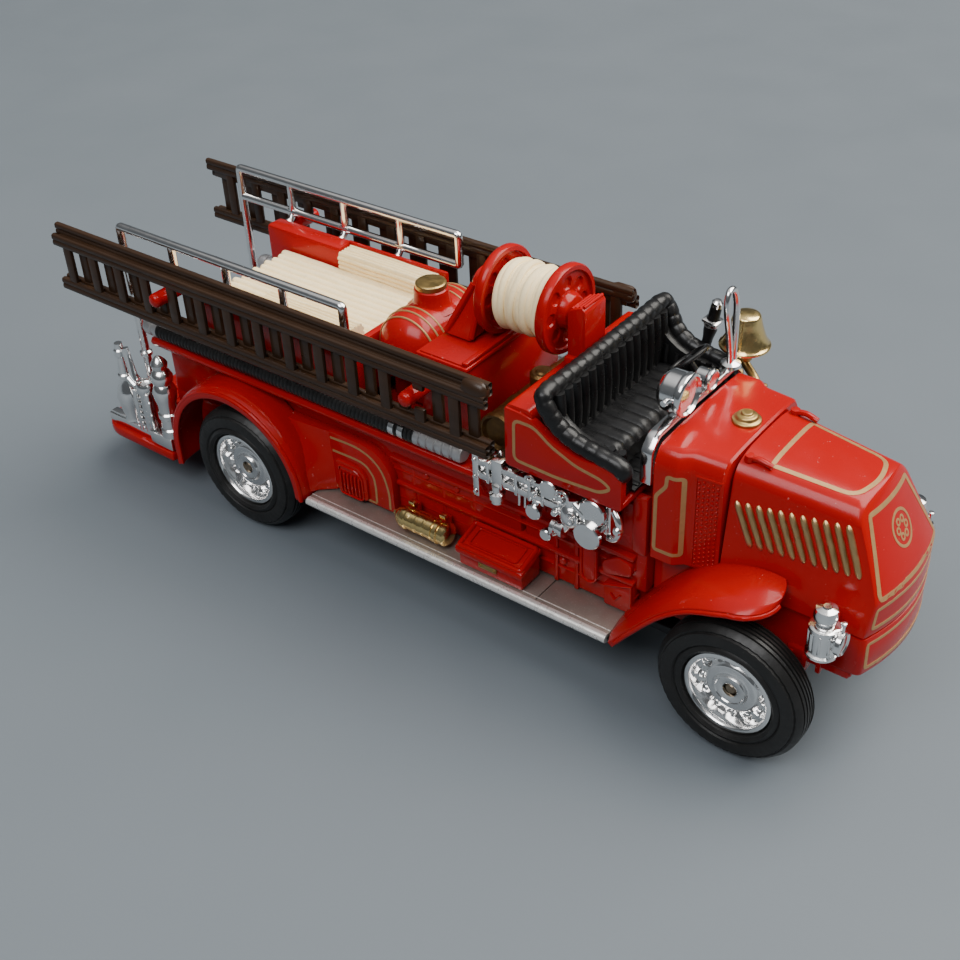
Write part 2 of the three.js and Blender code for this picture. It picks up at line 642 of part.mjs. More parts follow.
// ---- Fittings on both sides ---------------------------------------------------------------------------
function handRail() {
  const bar = 0.45;
  const y = -RAIL_Y;
  const windows = 4;
  const span = (RAIL_FRONT_X - RAIL_REAR_X) / windows;
  const posts = Array.from({ length: windows + 1 }, (_, i) => RAIL_REAR_X + span * i);
  const uprights = posts.map((x) => rod("z", bar, RAIL_LOW_Z, RAIL_TOP_Z, x, y, 8));
  const leg = rod("z", bar, TAILBOARD_TOP_Z + GAP, RAIL_LOW_Z, RAIL_REAR_X, y, 8);
  const bars = [RAIL_TOP_Z, RAIL_LOW_Z].map((z) => rod("x", bar, RAIL_REAR_X, RAIL_FRONT_X, y, z, 8));
  const lugs = posts.slice(1, 4).map((x) => block(x - 0.5, x + 0.5, y, -BED_HALF_WIDTH - GAP, 32.4, 33.4));
  return union(uprights, leg, bars, lugs);
}

// `shift` is how far forward the ladder sits on its pegs.
function ladder(shift) {
  const [rear, front] = [REAR_END_X + shift, LADDER_FRONT_X + shift];
  const outer = -LADDER_OUTER_Y;
  const middle = outer + LADDER_LAYER;
  const inner = middle + LADDER_LAYER;
  const outerRails = [[27, 28.5], [33.5, 34.9]];
  const innerRails = [[27.2, 28.7], [34.8, 36.3]];
  const rails = [
    ...outerRails.map(([low, high]) => block(rear, front, outer, middle + 0.02, low, high)),
    ...innerRails.map(([low, high]) => block(rear, front, middle, inner, low, high)),
  ];
  const rungWidth = 1.5;
  const rungs = [];
  for (let x = rear + 1.6; x < front - 2; x += RUNG_PITCH) {
    rungs.push(block(x, x + rungWidth, outer + 0.1, middle + 0.02, 28, 34));
    rungs.push(block(x + 1.2, x + 1.2 + rungWidth, middle, inner - 0.1, 28, 35.4));
  }
  const reach = 1.05 + GAP;
  const pegWindows = PEG_XS.map((x) =>
    block(x - reach, x + reach, outer - 1, inner + 1, PEG_Z - reach, PEG_Z + reach));
  return without(union(rails, rungs), pegWindows);
}

function suctionHose() {
  const [y, z] = [-10.85, LEDGE_TOP_Z + 1.5];
  const profile = [[0, -18.2], [1, -18.2], [1, -15.4], [1.2, -15.2], [1.2, 35.6], [0, 35.6]];
  return turned("x", profile, y, z, 10);
}

function pump() {
  const back = -9.2;
  const bars = [24, 22].map((z) => block(37.6, 53, -11.8, -10.6, z, z + 1));
  const flange = block(37.6, 38.6, -12, back - 0.2, 19.8, 25.5);
  const valve = block(40.4, 42, -12.2, back - 0.2, 21.4, 25.6);
  const casing = block(49.4, 55.8, -11.8, back, 20.6, 25.2);
  const cap = (x, z, radius, reach) => rod("y", radius, -reach, -11, x, z, 16);
  const largeCaps = [cap(53.9, 24.1, 1.7, 12.6), cap(53.5, 21.3, 1.7, 13.1)];
  const smallCaps = [cap(48.2, 24.5, 1.2, 12.4), cap(46, 20.8, 1, 12.5)];
  const drop = rod("z", 0.8, 19.4, 22.4, 46, -11.2, 10);
  const stem = rod("z", 0.6, 18.4, 22.4, 48.1, -11.3, 10);
  const spout = rod("y", 0.75, -13, -11, 48.1, 18.8, 12);
  const knob = rod("z", 0.9, 19.6, 21.8, 41, -11.3, 10);
  return union(bars, flange, valve, casing, largeCaps, smallCaps, drop, stem, spout, knob);
}

function toolbox() {
  const base = BOARD_TOP_Z + GAP;
  const [front, back] = [-13.5, -9.4];
  const box = frontPrism([[front, base], [front, 12.3], [back, 13.6], [back, base]], 35.4, 45.2);
  const plate = block(38.6, 41.6, front - 0.2, front + 0.2, 10.2, 11.4);
  return union(box, plate);
}

function extinguisher() {
  const profile = [
    [0, 24.4], [0.7, 24.4], [1.3, 25], [1.6, 25.4], [1.6, 26.2], [1.4, 26.4], [1.4, 31.6],
    [1.6, 31.8], [1.6, 32.6], [1, 33], [0, 33.2],
  ];
  return turned("x", profile, -11.4, BOARD_TOP_Z + GAP + 1.7, 12);
}

function headlamp() {
  const [x, y] = [80.4, -10.7];
  const profile = [
    [0, 16.6], [0.9, 16.7], [1.7, 17.4], [1.7, 21.3], [1.2, 21.6], [1.3, 22.3], [0.9, 23], [0, 23.2],
  ];
  const lantern = turned("z", profile, x, y, 16);
  const lens = rod("x", 1.5, x, 82.7, y, 19.4, 14);
  const stay = rod("y", 0.6, y, -8.2 - GAP, x, 20.2, 8);
  return union(lantern, lens, stay);
}

function rearFittings() {
  const base = TAILBOARD_TOP_Z + GAP;
  const bar = block(-27.4, -14.6, -13.9, -12.3, base, 7.8);
  const bottle = turned("z", [[0, base], [1.4, base], [1.4, 16.6], [1, 17.6], [1.2, 18], [0.9, 20],
    [0, 20.5]], -15.4, -12.9, 14);
  const drum = rod("z", 1.1, base, 15.4, -19.4, -13.1, 12);
  const nozzle = turned("z", [[0, base], [1.5, base], [1.5, 11.6], [1, 12.6], [0.9, 15], [0.6, 20.5],
    [0, 20.5]], -24, -13, 12);
  return union(bar, bottle, drum, nozzle);
}

function fittings() {
  pair("hand_rail", handRail(), CHROME);
  part("ladder_right", ladder(0), LADDER_BROWN);
  part("ladder_left", mirrored(ladder(1.8)), LADDER_BROWN);
  pair("suction_hose", suctionHose(), RUBBER);
  pair("pump", pump(), CHROME);
  pair("toolbox", toolbox(), RED);
  pair("extinguisher", extinguisher(), BRASS);
  pair("headlamp", headlamp(), CHROME);
  pair("rear_fittings", rearFittings(), CHROME);
}

runningGear();
chassis();
rearBody();
frontBody();
dash();
fittings();

export default engine;
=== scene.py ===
"""Looks of a die-cast toy fire engine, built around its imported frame.

Shapes are written in vehicle millimetres: x forwards from the rear axle, y to the vehicle's left,
z up from the ground. Right-hand pieces are modelled and the left-hand ones are their mirror images.
"""

import math

import bmesh
import bpy
from mathutils import Matrix, Vector, noise
from mathutils.bvhtree import BVHTree


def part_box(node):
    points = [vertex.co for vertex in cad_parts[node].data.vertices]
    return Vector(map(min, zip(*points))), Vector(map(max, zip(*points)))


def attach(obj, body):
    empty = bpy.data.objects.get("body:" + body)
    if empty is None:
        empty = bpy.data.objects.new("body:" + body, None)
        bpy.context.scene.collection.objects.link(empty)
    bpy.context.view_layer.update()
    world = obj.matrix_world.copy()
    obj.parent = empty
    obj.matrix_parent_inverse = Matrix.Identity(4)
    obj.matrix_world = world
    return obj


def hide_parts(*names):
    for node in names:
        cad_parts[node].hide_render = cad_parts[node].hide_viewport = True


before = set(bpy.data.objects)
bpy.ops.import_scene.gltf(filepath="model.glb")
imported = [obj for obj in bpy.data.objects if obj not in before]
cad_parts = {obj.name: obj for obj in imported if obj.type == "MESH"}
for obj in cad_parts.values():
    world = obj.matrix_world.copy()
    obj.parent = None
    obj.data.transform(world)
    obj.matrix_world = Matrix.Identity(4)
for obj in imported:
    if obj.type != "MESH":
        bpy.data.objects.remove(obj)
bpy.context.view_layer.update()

MM = 0.001
TAU = 2 * math.pi


# ---- Places taken from the frame ---------------------------------------------------------------
def centre(node):
    low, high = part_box(node)
    return (low + high) / 2


REAR_AXLE_X = centre("rear_axle").x
WHEELBASE = (centre("front_axle").x - REAR_AXLE_X) / MM
AXLE_Z = centre("rear_axle").z / MM


def span(node):
    """Lowest and highest corner of a CAD node, in vehicle millimetres."""
    shift = Vector((REAR_AXLE_X, 0, 0))
    return [(corner - shift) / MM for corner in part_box(node)]


def halfway(low, high):
    """The place midway between two corners."""
    return [(a + b) / 2 for a, b in zip(low, high)]


# ---- Outlines ----------------------------------------------------------------------------------
def lerp(a, b, t):
    return a + (b - a) * t


def smoothstep(low, high, value):
    t = min(1, max(0, (value - low) / (high - low)))
    return t * t * (3 - 2 * t)


def arc(cx, cy, radius, start, stop, steps):
    """Points on an arc, angles in degrees."""
    angles = [math.radians(lerp(start, stop, i / steps)) for i in range(steps + 1)]
    return [(cx + radius * math.cos(a), cy + radius * math.sin(a)) for a in angles]


def around(cx, cy, radius, count):
    """Points spread evenly round a circle."""
    angles = [TAU * k / count for k in range(count)]
    return [(cx + radius * math.cos(a), cy + radius * math.sin(a)) for a in angles]


def shifted(base, profile):
    """A profile of (radius, distance) moved along by the base."""
    return [(radius, base + along) for radius, along in profile]


def looped(line):
    """The line with its first point again at the end."""
    return [*line, line[0]]


def fillet(points, radius, steps=3, closed=True):
    """The outline with its corners rounded."""
    made = []
    count = len(points)
    for i, point in enumerate(points):
        if not closed and i in (0, count - 1):
            made.append(tuple(point))
            continue
        corner = Vector(point)
        back = Vector(points[i - 1]) - corner
        ahead = Vector(points[(i + 1) % count]) - corner
        reach = min(radius, back.length * 0.45, ahead.length * 0.45)
        a = corner + back.normalized() * reach
        b = corner + ahead.normalized() * reach
        for k in range(steps + 1):
            t = k / steps
            made.append(tuple(a.lerp(corner, t).lerp(corner.lerp(b, t), t)))
    return made


def curve_through(points, steps=6):
    """Catmull-Rom points through the given ones, ends included."""
    ends = [Vector(p) for p in points]
    padded = [2 * ends[0] - ends[1], *ends, 2 * ends[-1] - ends[-2]]
    made = []
    for a, b, c, d in zip(padded, padded[1:], padded[2:], padded[3:]):
        for k in range(steps):
            t = k / steps
            bend = (3 * b - 3 * c + d - a) * t ** 3 + (2 * a - 5 * b + 4 * c - d) * t * t
            made.append(tuple((2 * b + (c - a) * t + bend) / 2))
    return made + [tuple(ends[-1])]


def evenly(points, spacing):
    """The polyline again, with points about `spacing` apart."""
    path = [Vector(p) for p in points]
    made = [path[0]]
    for a, b in zip(path, path[1:]):
        count = max(1, round((b - a).length / spacing))
        made += [a.lerp(b, (k + 1) / count) for k in range(count)]
    return made


# ---- Shapes ------------------------------------------------------------------------------------
BEVEL_ANGLE = math.radians(28)
ON_AXIS = 1e-6


class Shape:
    """Closed solids gathered into one mesh, in vehicle millimetres."""

    def __init__(self):
        self.bm = bmesh.new()

    def add(self, points, faces, bevel=0, segments=2):
        """A closed solid from points and faces, its sharp edges rounded."""
        solid = bmesh.new()
        corners = [solid.verts.new(p) for p in points]
        for face in faces:
            solid.faces.new([corners[i] for i in face])
        bmesh.ops.recalc_face_normals(solid, faces=solid.faces)
        if bevel:
            sharp = [e for e in solid.edges if e.calc_face_angle(0) > BEVEL_ANGLE]
            bmesh.ops.bevel(solid, geom=sharp, offset=bevel, segments=segments, profile=0.5,
                            affect="EDGES", clamp_overlap=True)
        return self.take(solid)

    def take(self, solid):
        """Adds a copy of another mesh's faces."""
        scratch = bpy.data.meshes.new("scratch")
        solid.to_mesh(scratch)
        solid.free()
        self.bm.from_mesh(scratch)
        bpy.data.meshes.remove(scratch)
        return self

    def box(self, x, y, z, bevel=0.2):
        """A block from pairs of limits."""
        points = [(x[i], y[j], z[k]) for i in (0, 1) for j in (0, 1) for k in (0, 1)]
        faces = [(0, 1, 3, 2), (4, 6, 7, 5), (0, 4, 5, 1), (2, 3, 7, 6), (0, 2, 6, 4), (1, 5, 7, 3)]
        return self.add(points, faces, bevel)

    def prism(self, plane, outline, low, high, bevel=0.2):
        """An outline seen from the side (x, z), from above (x, y) or from the front (y, z)."""
        place = {
            "side": lambda a, b, t: (a, t, b),
            "plan": lambda a, b, t: (a, b, t),
            "front": lambda a, b, t: (t, a, b),
        }[plane]
        n = len(outline)
        points = [place(a, b, t) for t in (low, high) for a, b in outline]
        walls = [(i, (i + 1) % n, n + (i + 1) % n, n + i) for i in range(n)]
        return self.add(points, [tuple(range(n)), tuple(range(n, 2 * n)), *walls], bevel)

    def turned(self, axis, profile, c1, c2, segments=40, relief=None):
        """A profile of (radius, distance along the axis); relief(radius, angle) moves it along."""
        place = {
            "x": lambda a, b, t: (t, c1 + a, c2 + b),
            "y": lambda a, b, t: (c1 + a, t, c2 + b),
            "z": lambda a, b, t: (c1 + a, c2 + b, t),
        }[axis]
        points = []
        rows = []
        for radius, along in profile:
            if radius < ON_AXIS:
                rows.append([len(points)] * segments)
                points.append(place(0, 0, along))
                continue
            rows.append(range(len(points), len(points) + segments))
            for k in range(segments):
                angle = TAU * k / segments
                lift = relief(radius, angle, along) if relief else 0
                points.append(place(radius * math.cos(angle), radius * math.sin(angle), along + lift))
        if rows[0][0] != rows[0][1]:
            rows.append(rows[0])
        faces = []
        for a, b in zip(rows, rows[1:]):
            for k in range(segments):
                m = (k + 1) % segments
                ring = list(dict.fromkeys([a[k], a[m], b[m], b[k]]))
                if len(ring) > 2:
                    faces.append(ring)
        return self.add(points, faces)

    def rod(self, axis, radius, limits, c1, c2, segments=16):
        """A plain round rod between two places along an axis."""
        start, stop = limits
        return self.turned(axis, [(0, start), (radius, start), (radius, stop), (0, stop)], c1, c2, segments)

    def loft(self, rings, bevel=0):
        """Skins rings of equal count and closes both ends."""
        n = len(rings[0])
        points = [p for ring in rings for p in ring]
        faces = [tuple(range(n)), tuple(range(len(points) - n, len(points)))]
        for r in range(len(rings) - 1):
            for i in range(n):
                j = (i + 1) % n
                faces.append((r * n + i, r * n + j, (r + 1) * n + j, (r + 1) * n + i))
        return self.add(points, faces, bevel)

    def tube(self, points, radius, sides=12, closed=False, flat=1, steps=None):
        """A round bar along a path; radius may be a function of the share of the path."""
        path = [Vector(p) for p in (curve_through(points, steps) if steps else points)]
        size = radius if callable(radius) else (lambda share: radius)
        rings = []
        normal = None
        last = len(path) - 1
        for i, point in enumerate(path):
            before = path[i - 1] if i or closed else point
            after = path[(i + 1) % len(path)] if i < last or closed else point
            tangent = (after - before).normalized()
            if normal is None:
                normal = tangent.orthogonal()
            normal = (normal - tangent * normal.dot(tangent)).normalized()
            across = tangent.cross(normal)
            r = size(i / last)
            rings.append([
                point + normal * r * math.cos(TAU * k / sides) + across * r * flat * math.sin(TAU * k / sides)
                for k in range(sides)
            ])
        if not closed:
            return self.loft(rings)
        count = len(rings)
        corners = [p for ring in rings for p in ring]
        faces = []
        for i in range(count):
            a, b = i * sides, (i + 1) % count * sides
            faces += [(a + k, a + (k + 1) % sides, b + (k + 1) % sides, b + k) for k in range(sides)]
        return self.add(corners, faces)

    def sheet(self, nu, nv, face, back, bevel=0):
        """A closed solid between two surfaces, each a function of u and v from 0 to 1."""
        grid = [(u / nu, v / nv) for u in range(nu + 1) for v in range(nv + 1)]
        points = [face(*uv) for uv in grid] + [back(*uv) for uv in grid]
        layer = len(grid)
        at = lambda u, v: u * (nv + 1) + v
        faces = []
        for u in range(nu):
            for v in range(nv):
                quad = (at(u, v), at(u + 1, v), at(u + 1, v + 1), at(u, v + 1))
                faces.append(quad)
                faces.append(tuple(layer + i for i in reversed(quad)))
        rim = [(at(u, 0), at(u + 1, 0)) for u in range(nu)]
        rim += [(at(u + 1, nv), at(u, nv)) for u in range(nu)]
        rim += [(at(nu, v), at(nu, v + 1)) for v in range(nv)]
        rim += [(at(0, v + 1), at(0, v)) for v in range(nv)]
        faces += [(a, a + layer, b + layer, b) for a, b in rim]
        return self.add(points, faces, bevel)

    def turn(self, place, axis, degrees):
        """Turns everything made so far about a point."""
        pivot = Vector(place)
        spin = Matrix.Translation(pivot) @ Matrix.Rotation(math.radians(degrees), 4, axis)
        self.bm.transform(spin @ Matrix.Translation(-pivot))
        return self

    def mirror(self):
        """The same shape on the other side of the vehicle."""
        other = Shape()
        other.bm = self.bm.copy()
        other.bm.transform(Matrix.Diagonal((1, -1, 1, 1)))
        bmesh.ops.reverse_faces(other.bm, faces=other.bm.faces)
        return other

    def both(self):
        """Adds the mirror image to the shape itself."""
        return self.take(self.mirror().bm)

    def surface(self):
        return BVHTree.FromBMesh(self.bm)


# ---- Pieces ------------------------------------------------------------------------------------
SMOOTH_ANGLE = math.radians(36)


def piece(name, shape, look, body="engine", replaces=()):
    """Makes the object, in its place, riding on its body."""
    material, slot = look
    mesh = bpy.data.meshes.new(name)
    shape.bm.transform(Matrix.Translation((REAR_AXLE_X, 0, 0)) @ Matrix.Scale(MM, 4))
    shape.bm.to_mesh(mesh)
    mesh.materials.append(material)
    mesh.polygons.foreach_set("use_smooth", [True] * len(mesh.polygons))
    mesh.set_sharp_from_angle(angle=SMOOTH_ANGLE)
    made = bpy.data.objects.new(name, mesh)
    bpy.context.scene.collection.objects.link(made)
    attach(made, body)
    if replaces:
        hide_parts(*replaces)
    return made


def pair(name, shape, look, bodies=("engine", "engine"), nodes=()):
    """The right-hand piece and its mirror image; nodes are names without their side."""
    left = shape.mirror()
    for side, solid, body in (("right", shape, bodies[0]), ("left", left, bodies[1])):
        piece(f"{name}_{side}", solid, look, body, [f"{node}_{side}" for node in nodes])


def stripe(shape, surface, points, width, towards, spacing=0.4, lift=0.035):
    """Lays a thin raised line on a surface; points lie off it and fall on it along `towards`."""
    aim = Vector(towards)
    path = evenly(points, spacing)
    closed = (path[0] - path[-1]).length < 1e-3
    if closed:
        path.pop()
    rows = []
    last = len(path) - 1
    for i, point in enumerate(path):
        before = path[i - 1] if i or closed else point
        after = path[(i + 1) % len(path)] if i < last or closed else point
        across = (after - before).cross(aim).normalized() * width / 2
        row = []
        for edge in (point - across, point + across):
            hit, normal, _, _ = surface.ray_cast(edge, aim)
            if hit is None:
                hit, normal, _, _ = surface.find_nearest(edge)
            if normal.dot(aim) > 0:
                normal = -normal
            row += [hit + normal * lift, hit - normal * lift]
        rows.append([row[0], row[2], row[3], row[1]])
    if not closed:
        return shape.loft(rows)
    corners = [p for row in rows for p in row]
    faces = []
    for i in range(len(rows)):
        a, b = 4 * i, 4 * ((i + 1) % len(rows))
        faces += [(a + k, a + (k + 1) % 4, b + (k + 1) % 4, b + k) for k in range(4)]
    return shape.add(corners, faces)


# Stripes are drawn from outside the body and fall on its surface.
AHEAD_X = 95
BESIDE_Y = -20
ABOVE_Z = 45


def nose_stripe(shape, surface, line, width, spacing=0.4):
    """A stripe on the front; line holds (y, z)."""
    return stripe(shape, surface, [(AHEAD_X, y, z) for y, z in line], width, (-1, 0, 0), spacing)


def side_stripe(shape, surface, line, width, lift=0.035):
    """A stripe on the right side; line holds (x, z)."""
    return stripe(shape, surface, [(x, BESIDE_Y, z) for x, z in line], width, (0, 1, 0), lift=lift)


# ---- Materials ---------------------------------------------------------------------------------
NOISE_BAND = (0.3, 0.7)


class Look:
    """A procedural material under construction. Texture sizes are in millimetres."""

    def __init__(self, name, **sockets):
        self.material = bpy.data.materials.new(name)
        self.material.use_nodes = True
        self.tree = self.material.node_tree
        self.shader = self.tree.nodes["Principled BSDF"]
        for socket, value in sockets.items():
            self.shader.inputs[socket.replace("_", " ")].default_value = value
        self.place = self.node("ShaderNodeTexCoord").outputs["Object"]
        self.mixed = None
        self.height = None

    def node(self, kind, **values):
        made = self.tree.nodes.new(kind)
        for key, value in values.items():
            setattr(made, key, value)
        return made

    def link(self, source, target):
        self.tree.links.new(source, target)

    def noise(self, size, detail=3, stretch=(1, 1, 1), roughness=0.55):
        """Noise with features of about `size` mm, drawn out along the axes by `stretch`."""
        mapping = self.node("ShaderNodeMapping")
        mapping.inputs["Scale"].default_value = [1 / s for s in stretch]
        self.link(self.place, mapping.inputs["Vector"])
        texture = self.node("ShaderNodeTexNoise")
        texture.inputs["Scale"].default_value = 1 / (size * MM)
        texture.inputs["Detail"].default_value = detail
        texture.inputs["Roughness"].default_value = roughness
        self.link(mapping.outputs["Vector"], texture.inputs["Vector"])
        return texture.outputs["Fac"]

    def range(self, source, low, high, to_low=0.0, to_high=1.0):
        made = self.node("ShaderNodeMapRange")
        limits = (low, high, to_low, to_high)
        for socket, value in zip(("From Min", "From Max", "To Min", "To Max"), limits):
            made.inputs[socket].default_value = value
        self.link(source, made.inputs["Value"])
        return made.outputs["Result"]

    def colour(self, grain, first, second):
        """Base colour from first to second over a noise."""
        made = self.node("ShaderNodeMix", data_type="RGBA")
        made.inputs["A"].default_value = (*first, 1)
        return self.mix_into(made, self.noise(*grain), second)

    def mix_into(self, made, factor, colour):
        """Finishes a mix node and makes it the base colour."""
        made.inputs["B"].default_value = (*colour, 1)
        self.link(factor, made.inputs["Factor"])
        self.mixed = made.outputs["Result"]
        self.link(self.mixed, self.shader.inputs["Base Color"])
        return self

    def over(self, grain, band, amount, colour):
        """Another colour over the last one, up to `amount` where a noise passes a band."""
        made = self.node("ShaderNodeMix", data_type="RGBA")
        self.link(self.mixed, made.inputs["A"])
        return self.mix_into(made, self.range(self.noise(*grain), *band, 0, amount), colour)

    def rough(self, grain, low, high):
        """Roughness from low to high over a noise."""
        self.link(self.range(self.noise(*grain), *NOISE_BAND, low, high), self.shader.inputs["Roughness"])
        return self

    def bump(self, grain, depth, strength=1.0):
        """Noise relief of about `depth` mm; later calls add to earlier ones."""
        made = self.node("ShaderNodeBump")
        made.inputs["Strength"].default_value = strength
        made.inputs["Distance"].default_value = depth * MM
        self.link(self.noise(*grain), made.inputs["Height"])
        if self.height is not None:
            self.link(self.height, made.inputs["Normal"])
        self.height = made.outputs["Normal"]
        self.link(self.height, self.shader.inputs["Normal"])
        return self


def made_of(name, tint, gloss, *relief, flecks=None, **sockets):
    """A material. tint: grain, first and second colour; gloss: grain, lowest and highest roughness;
    relief: grain, depth and strength; flecks: grain, band, amount and colour."""
    look = Look(name, **sockets).colour(*tint)
    if flecks:
        look.over(*flecks)
    look.rough(*gloss)
    for layer in relief:
        look.bump(*layer)
    return look.material


def gold(name, dark, bright, low, high):
    return made_of(name, ((1.2, 4), dark, bright), ((0.8, 4), low, high), ((0.9, 3), 0.04, 0.4),
                   Metallic=1.0)


RED = (made_of("red_enamel", ((9, 4), (0.32, 0.0028, 0.0028), (0.39, 0.0042, 0.0038)),
               ((3, 4), 0.14, 0.28), ((3, 2), 0.02, 0.15), ((0.25, 2), 0.003, 0.3),
               flecks=((0.35, 1), (0.75, 0.8), 0.4, (0.60, 0.25, 0.22)), Coat_Weight=0.12,
               Coat_Roughness=0.04, Specular_IOR_Level=0.22), "red_paint")
CHROME = (made_of("plated_chrome", ((1.5, 3), (0.80, 0.79, 0.78), (0.96, 0.95, 0.94)),
                  ((1.1, 4), 0.08, 0.21), ((1.3, 2), 0.03, 0.15), Metallic=1.0), "chrome_plate")
BRASS = (gold("bright_gold", (0.76, 0.53, 0.20), (0.92, 0.70, 0.32), 0.14, 0.28), "gold_plate")
OLD_GOLD = (gold("satin_gold", (0.36, 0.24, 0.085), (0.56, 0.39, 0.15), 0.3, 0.45), "gold_plate")
PALE_GOLD = (gold("painted_gold", (0.50, 0.33, 0.15), (0.66, 0.46, 0.23), 0.34, 0.48), "gold_plate")
LINING = (made_of("gold_lining", ((0.5, 4), (0.36, 0.20, 0.08), (0.50, 0.30, 0.13)),
                  ((0.4, 3), 0.35, 0.5), ((0.12, 2), 0.006, 0.5), Metallic=0.45), "gold_plate")
BRONZE = (made_of("mottled_bronze", ((0.8, 5), (0.05, 0.024, 0.008), (0.22, 0.12, 0.035)),
                  ((0.7, 4), 0.28, 0.5), ((0.5, 4), 0.1, 0.8), Metallic=0.75), "bronze_paint")
BLACK = (made_of("black_moulding", ((2.5, 4), (0.003, 0.003, 0.0032), (0.012, 0.012, 0.0125)),
                 ((1.4, 4), 0.24, 0.42), ((0.8, 4), 0.06, 0.5), Specular_IOR_Level=0.35), "black_trim")
TYRE = (made_of("tyre_rubber", ((2.0, 5), (0.006, 0.006, 0.006), (0.020, 0.019, 0.018)),
                ((1.5, 4), 0.28, 0.5), ((0.5, 4), 0.05, 0.5),
                flecks=((0.3, 2), (0.7, 0.78), 0.3, (0.12, 0.11, 0.1)), Specular_IOR_Level=0.35),
                "tyre_rubber")
HOSE_BLACK = (made_of("hose_rubber", ((1.5, 4), (0.005, 0.005, 0.005), (0.018, 0.017, 0.017)),
                      ((1.0, 3), 0.3, 0.5), ((0.6, 3), 0.04, 0.5), Specular_IOR_Level=0.45), "hose_rubber")
BROWN = (made_of("ladder_plastic", ((1.2, 4, (9, 1, 1)), (0.018, 0.008, 0.0032), (0.044, 0.021, 0.010)),
                 ((1.0, 4, (6, 1, 1)), 0.26, 0.46), ((0.7, 4, (8, 1, 1)), 0.05, 0.5),
                 Specular_IOR_Level=0.38), "ladder_plastic")
CREAM = (made_of("cream_hose", ((2.2, 4), (0.94, 0.73, 0.40), (0.99, 0.84, 0.52)), ((1.0, 3), 0.6, 0.8),
                 ((0.25, 3), 0.03, 0.7), ((1.2, 3), 0.08, 0.4),
                 flecks=((0.5, 3), (0.55, 0.75), 0.35, (0.62, 0.53, 0.39)), Specular_IOR_Level=0.3),
                 "hose_cloth")
BOARD = (made_of("board_bronze", ((2.5, 5), (0.27, 0.22, 0.19), (0.38, 0.32, 0.28)),
                 ((1.0, 4), 0.36, 0.52), ((0.2, 3), 0.012, 0.6),
                 flecks=((0.25, 2), (0.6, 0.75), 0.4, (0.62, 0.55, 0.50)), Metallic=0.7), "board_metal")
SILVER = (made_of("silver_edge", ((1.5, 4), (0.78, 0.75, 0.71), (0.92, 0.90, 0.87)),
                  ((0.8, 4), 0.22, 0.4), ((0.5, 3), 0.02, 0.5), Metallic=0.65), "board_metal")
COUPLING = (made_of("grey_coupling", ((1.2, 4), (0.36, 0.36, 0.37), (0.56, 0.56, 0.57)),
                    ((0.8, 4), 0.28, 0.45), ((0.5, 3), 0.03, 0.5), Metallic=0.6), "chrome_plate")
BASE = (made_of("base_black", ((4, 4), (0.010, 0.010, 0.011), (0.028, 0.028, 0.030)),
                ((1.5, 4), 0.35, 0.55), ((0.5, 4), 0.03, 0.5), Specular_IOR_Level=0.5, Metallic=0.2),
                "black_base")
STEEL = (made_of("axle_steel", ((0.9, 4), (0.22, 0.16, 0.10), (0.40, 0.33, 0.25)), ((0.6, 4), 0.25, 0.45),
                 ((0.4, 3), 0.02, 0.5), Metallic=1.0), "axle_steel")


# ---- Running gear --------------------------------------------------------------------------------
TYRE_LOW, TYRE_HIGH = span("rear_tyre_right")
TYRE_Y = (TYRE_LOW.y + TYRE_HIGH.y) / 2
TYRE_HALF = (TYRE_HIGH.y - TYRE_LOW.y) / 2
TYRE_RADIUS = (TYRE_HIGH.z - TYRE_LOW.z) / 2
RIM_RADIUS = (span("rear_wheel_right")[1].z - span("rear_wheel_right")[0].z) / 2


def tyre_profile():
    """Right-hand tyre: (radius, y), from the outer bead round the tread and back inside."""
    side = shifted(TYRE_HALF, [(RIM_RADIUS + 0.1, -0.7), (RIM_RADIUS + 0.25, -0.25), (RIM_RADIUS + 0.6, 0),
                              (RIM_RADIUS + 0.95, -0.15), (RIM_RADIUS + 1.1, -0.3),
                              (RIM_RADIUS + 1.3, -0.12), (RIM_RADIUS + 2.1, -0.05),
                              (TYRE_RADIUS - 0.95, -0.2), (TYRE_RADIUS - 0.85, -0.42),
                              (TYRE_RADIUS - 0.65, -0.38), (TYRE_RADIUS - 0.22, -0.85)])
    tread = []
    for groove in (1.05, 0.5, 0.0):
        top = TYRE_RADIUS - groove_drop(groove)
        tread += [(top, groove + 0.13), (top - 0.32, groove + 0.07)]
        if groove:
            tread += [(top - 0.32, groove - 0.07), (top, groove - 0.13)]
    half = side + tread
    inner = [(r, -t) for r, t in reversed(half)]
    return [(r, TYRE_Y - t) for r, t in half + inner]


CROWN_FALL = 0.09


def groove_drop(y):
    """How far the tread's crown has fallen at y."""
    return CROWN_FALL * y * y


def wheel_profile():
    """(radius, distance outwards) over the dished face and back behind it."""
    hub = [(0.8, 0.55), (0.86, 0.98), (1.0, 1.05), (1.62, 1.05), (1.72, 1.16), (1.86, 1.16), (1.96, 1.0),
           (2.06, 0.78)]
    disc = [(2.2 + 0.06 * k, 0.74 - 0.45 * smoothstep(0.6, 1.3, 0.06 * k)) for k in range(36)]
    rim = [(4.38, 0.55), (4.44, 0.95), (4.5, 1.35), (4.58, 1.65), (4.7, 1.76), (5.08, 1.76), (5.2, 1.68),
           (RIM_RADIUS, 1.4)]
    back = [(RIM_RADIUS, -1.8), (4.6, -1.8), (4.3, -1.1), (0.8, -1.1)]
    return hub + disc + rim + back


POCKETS = 12
POCKET_RADIUS = 3.78
POCKET_HALF_WIDTH, POCKET_HALF_HEIGHT = 0.74, 0.66
POCKET_DEPTH = 0.62


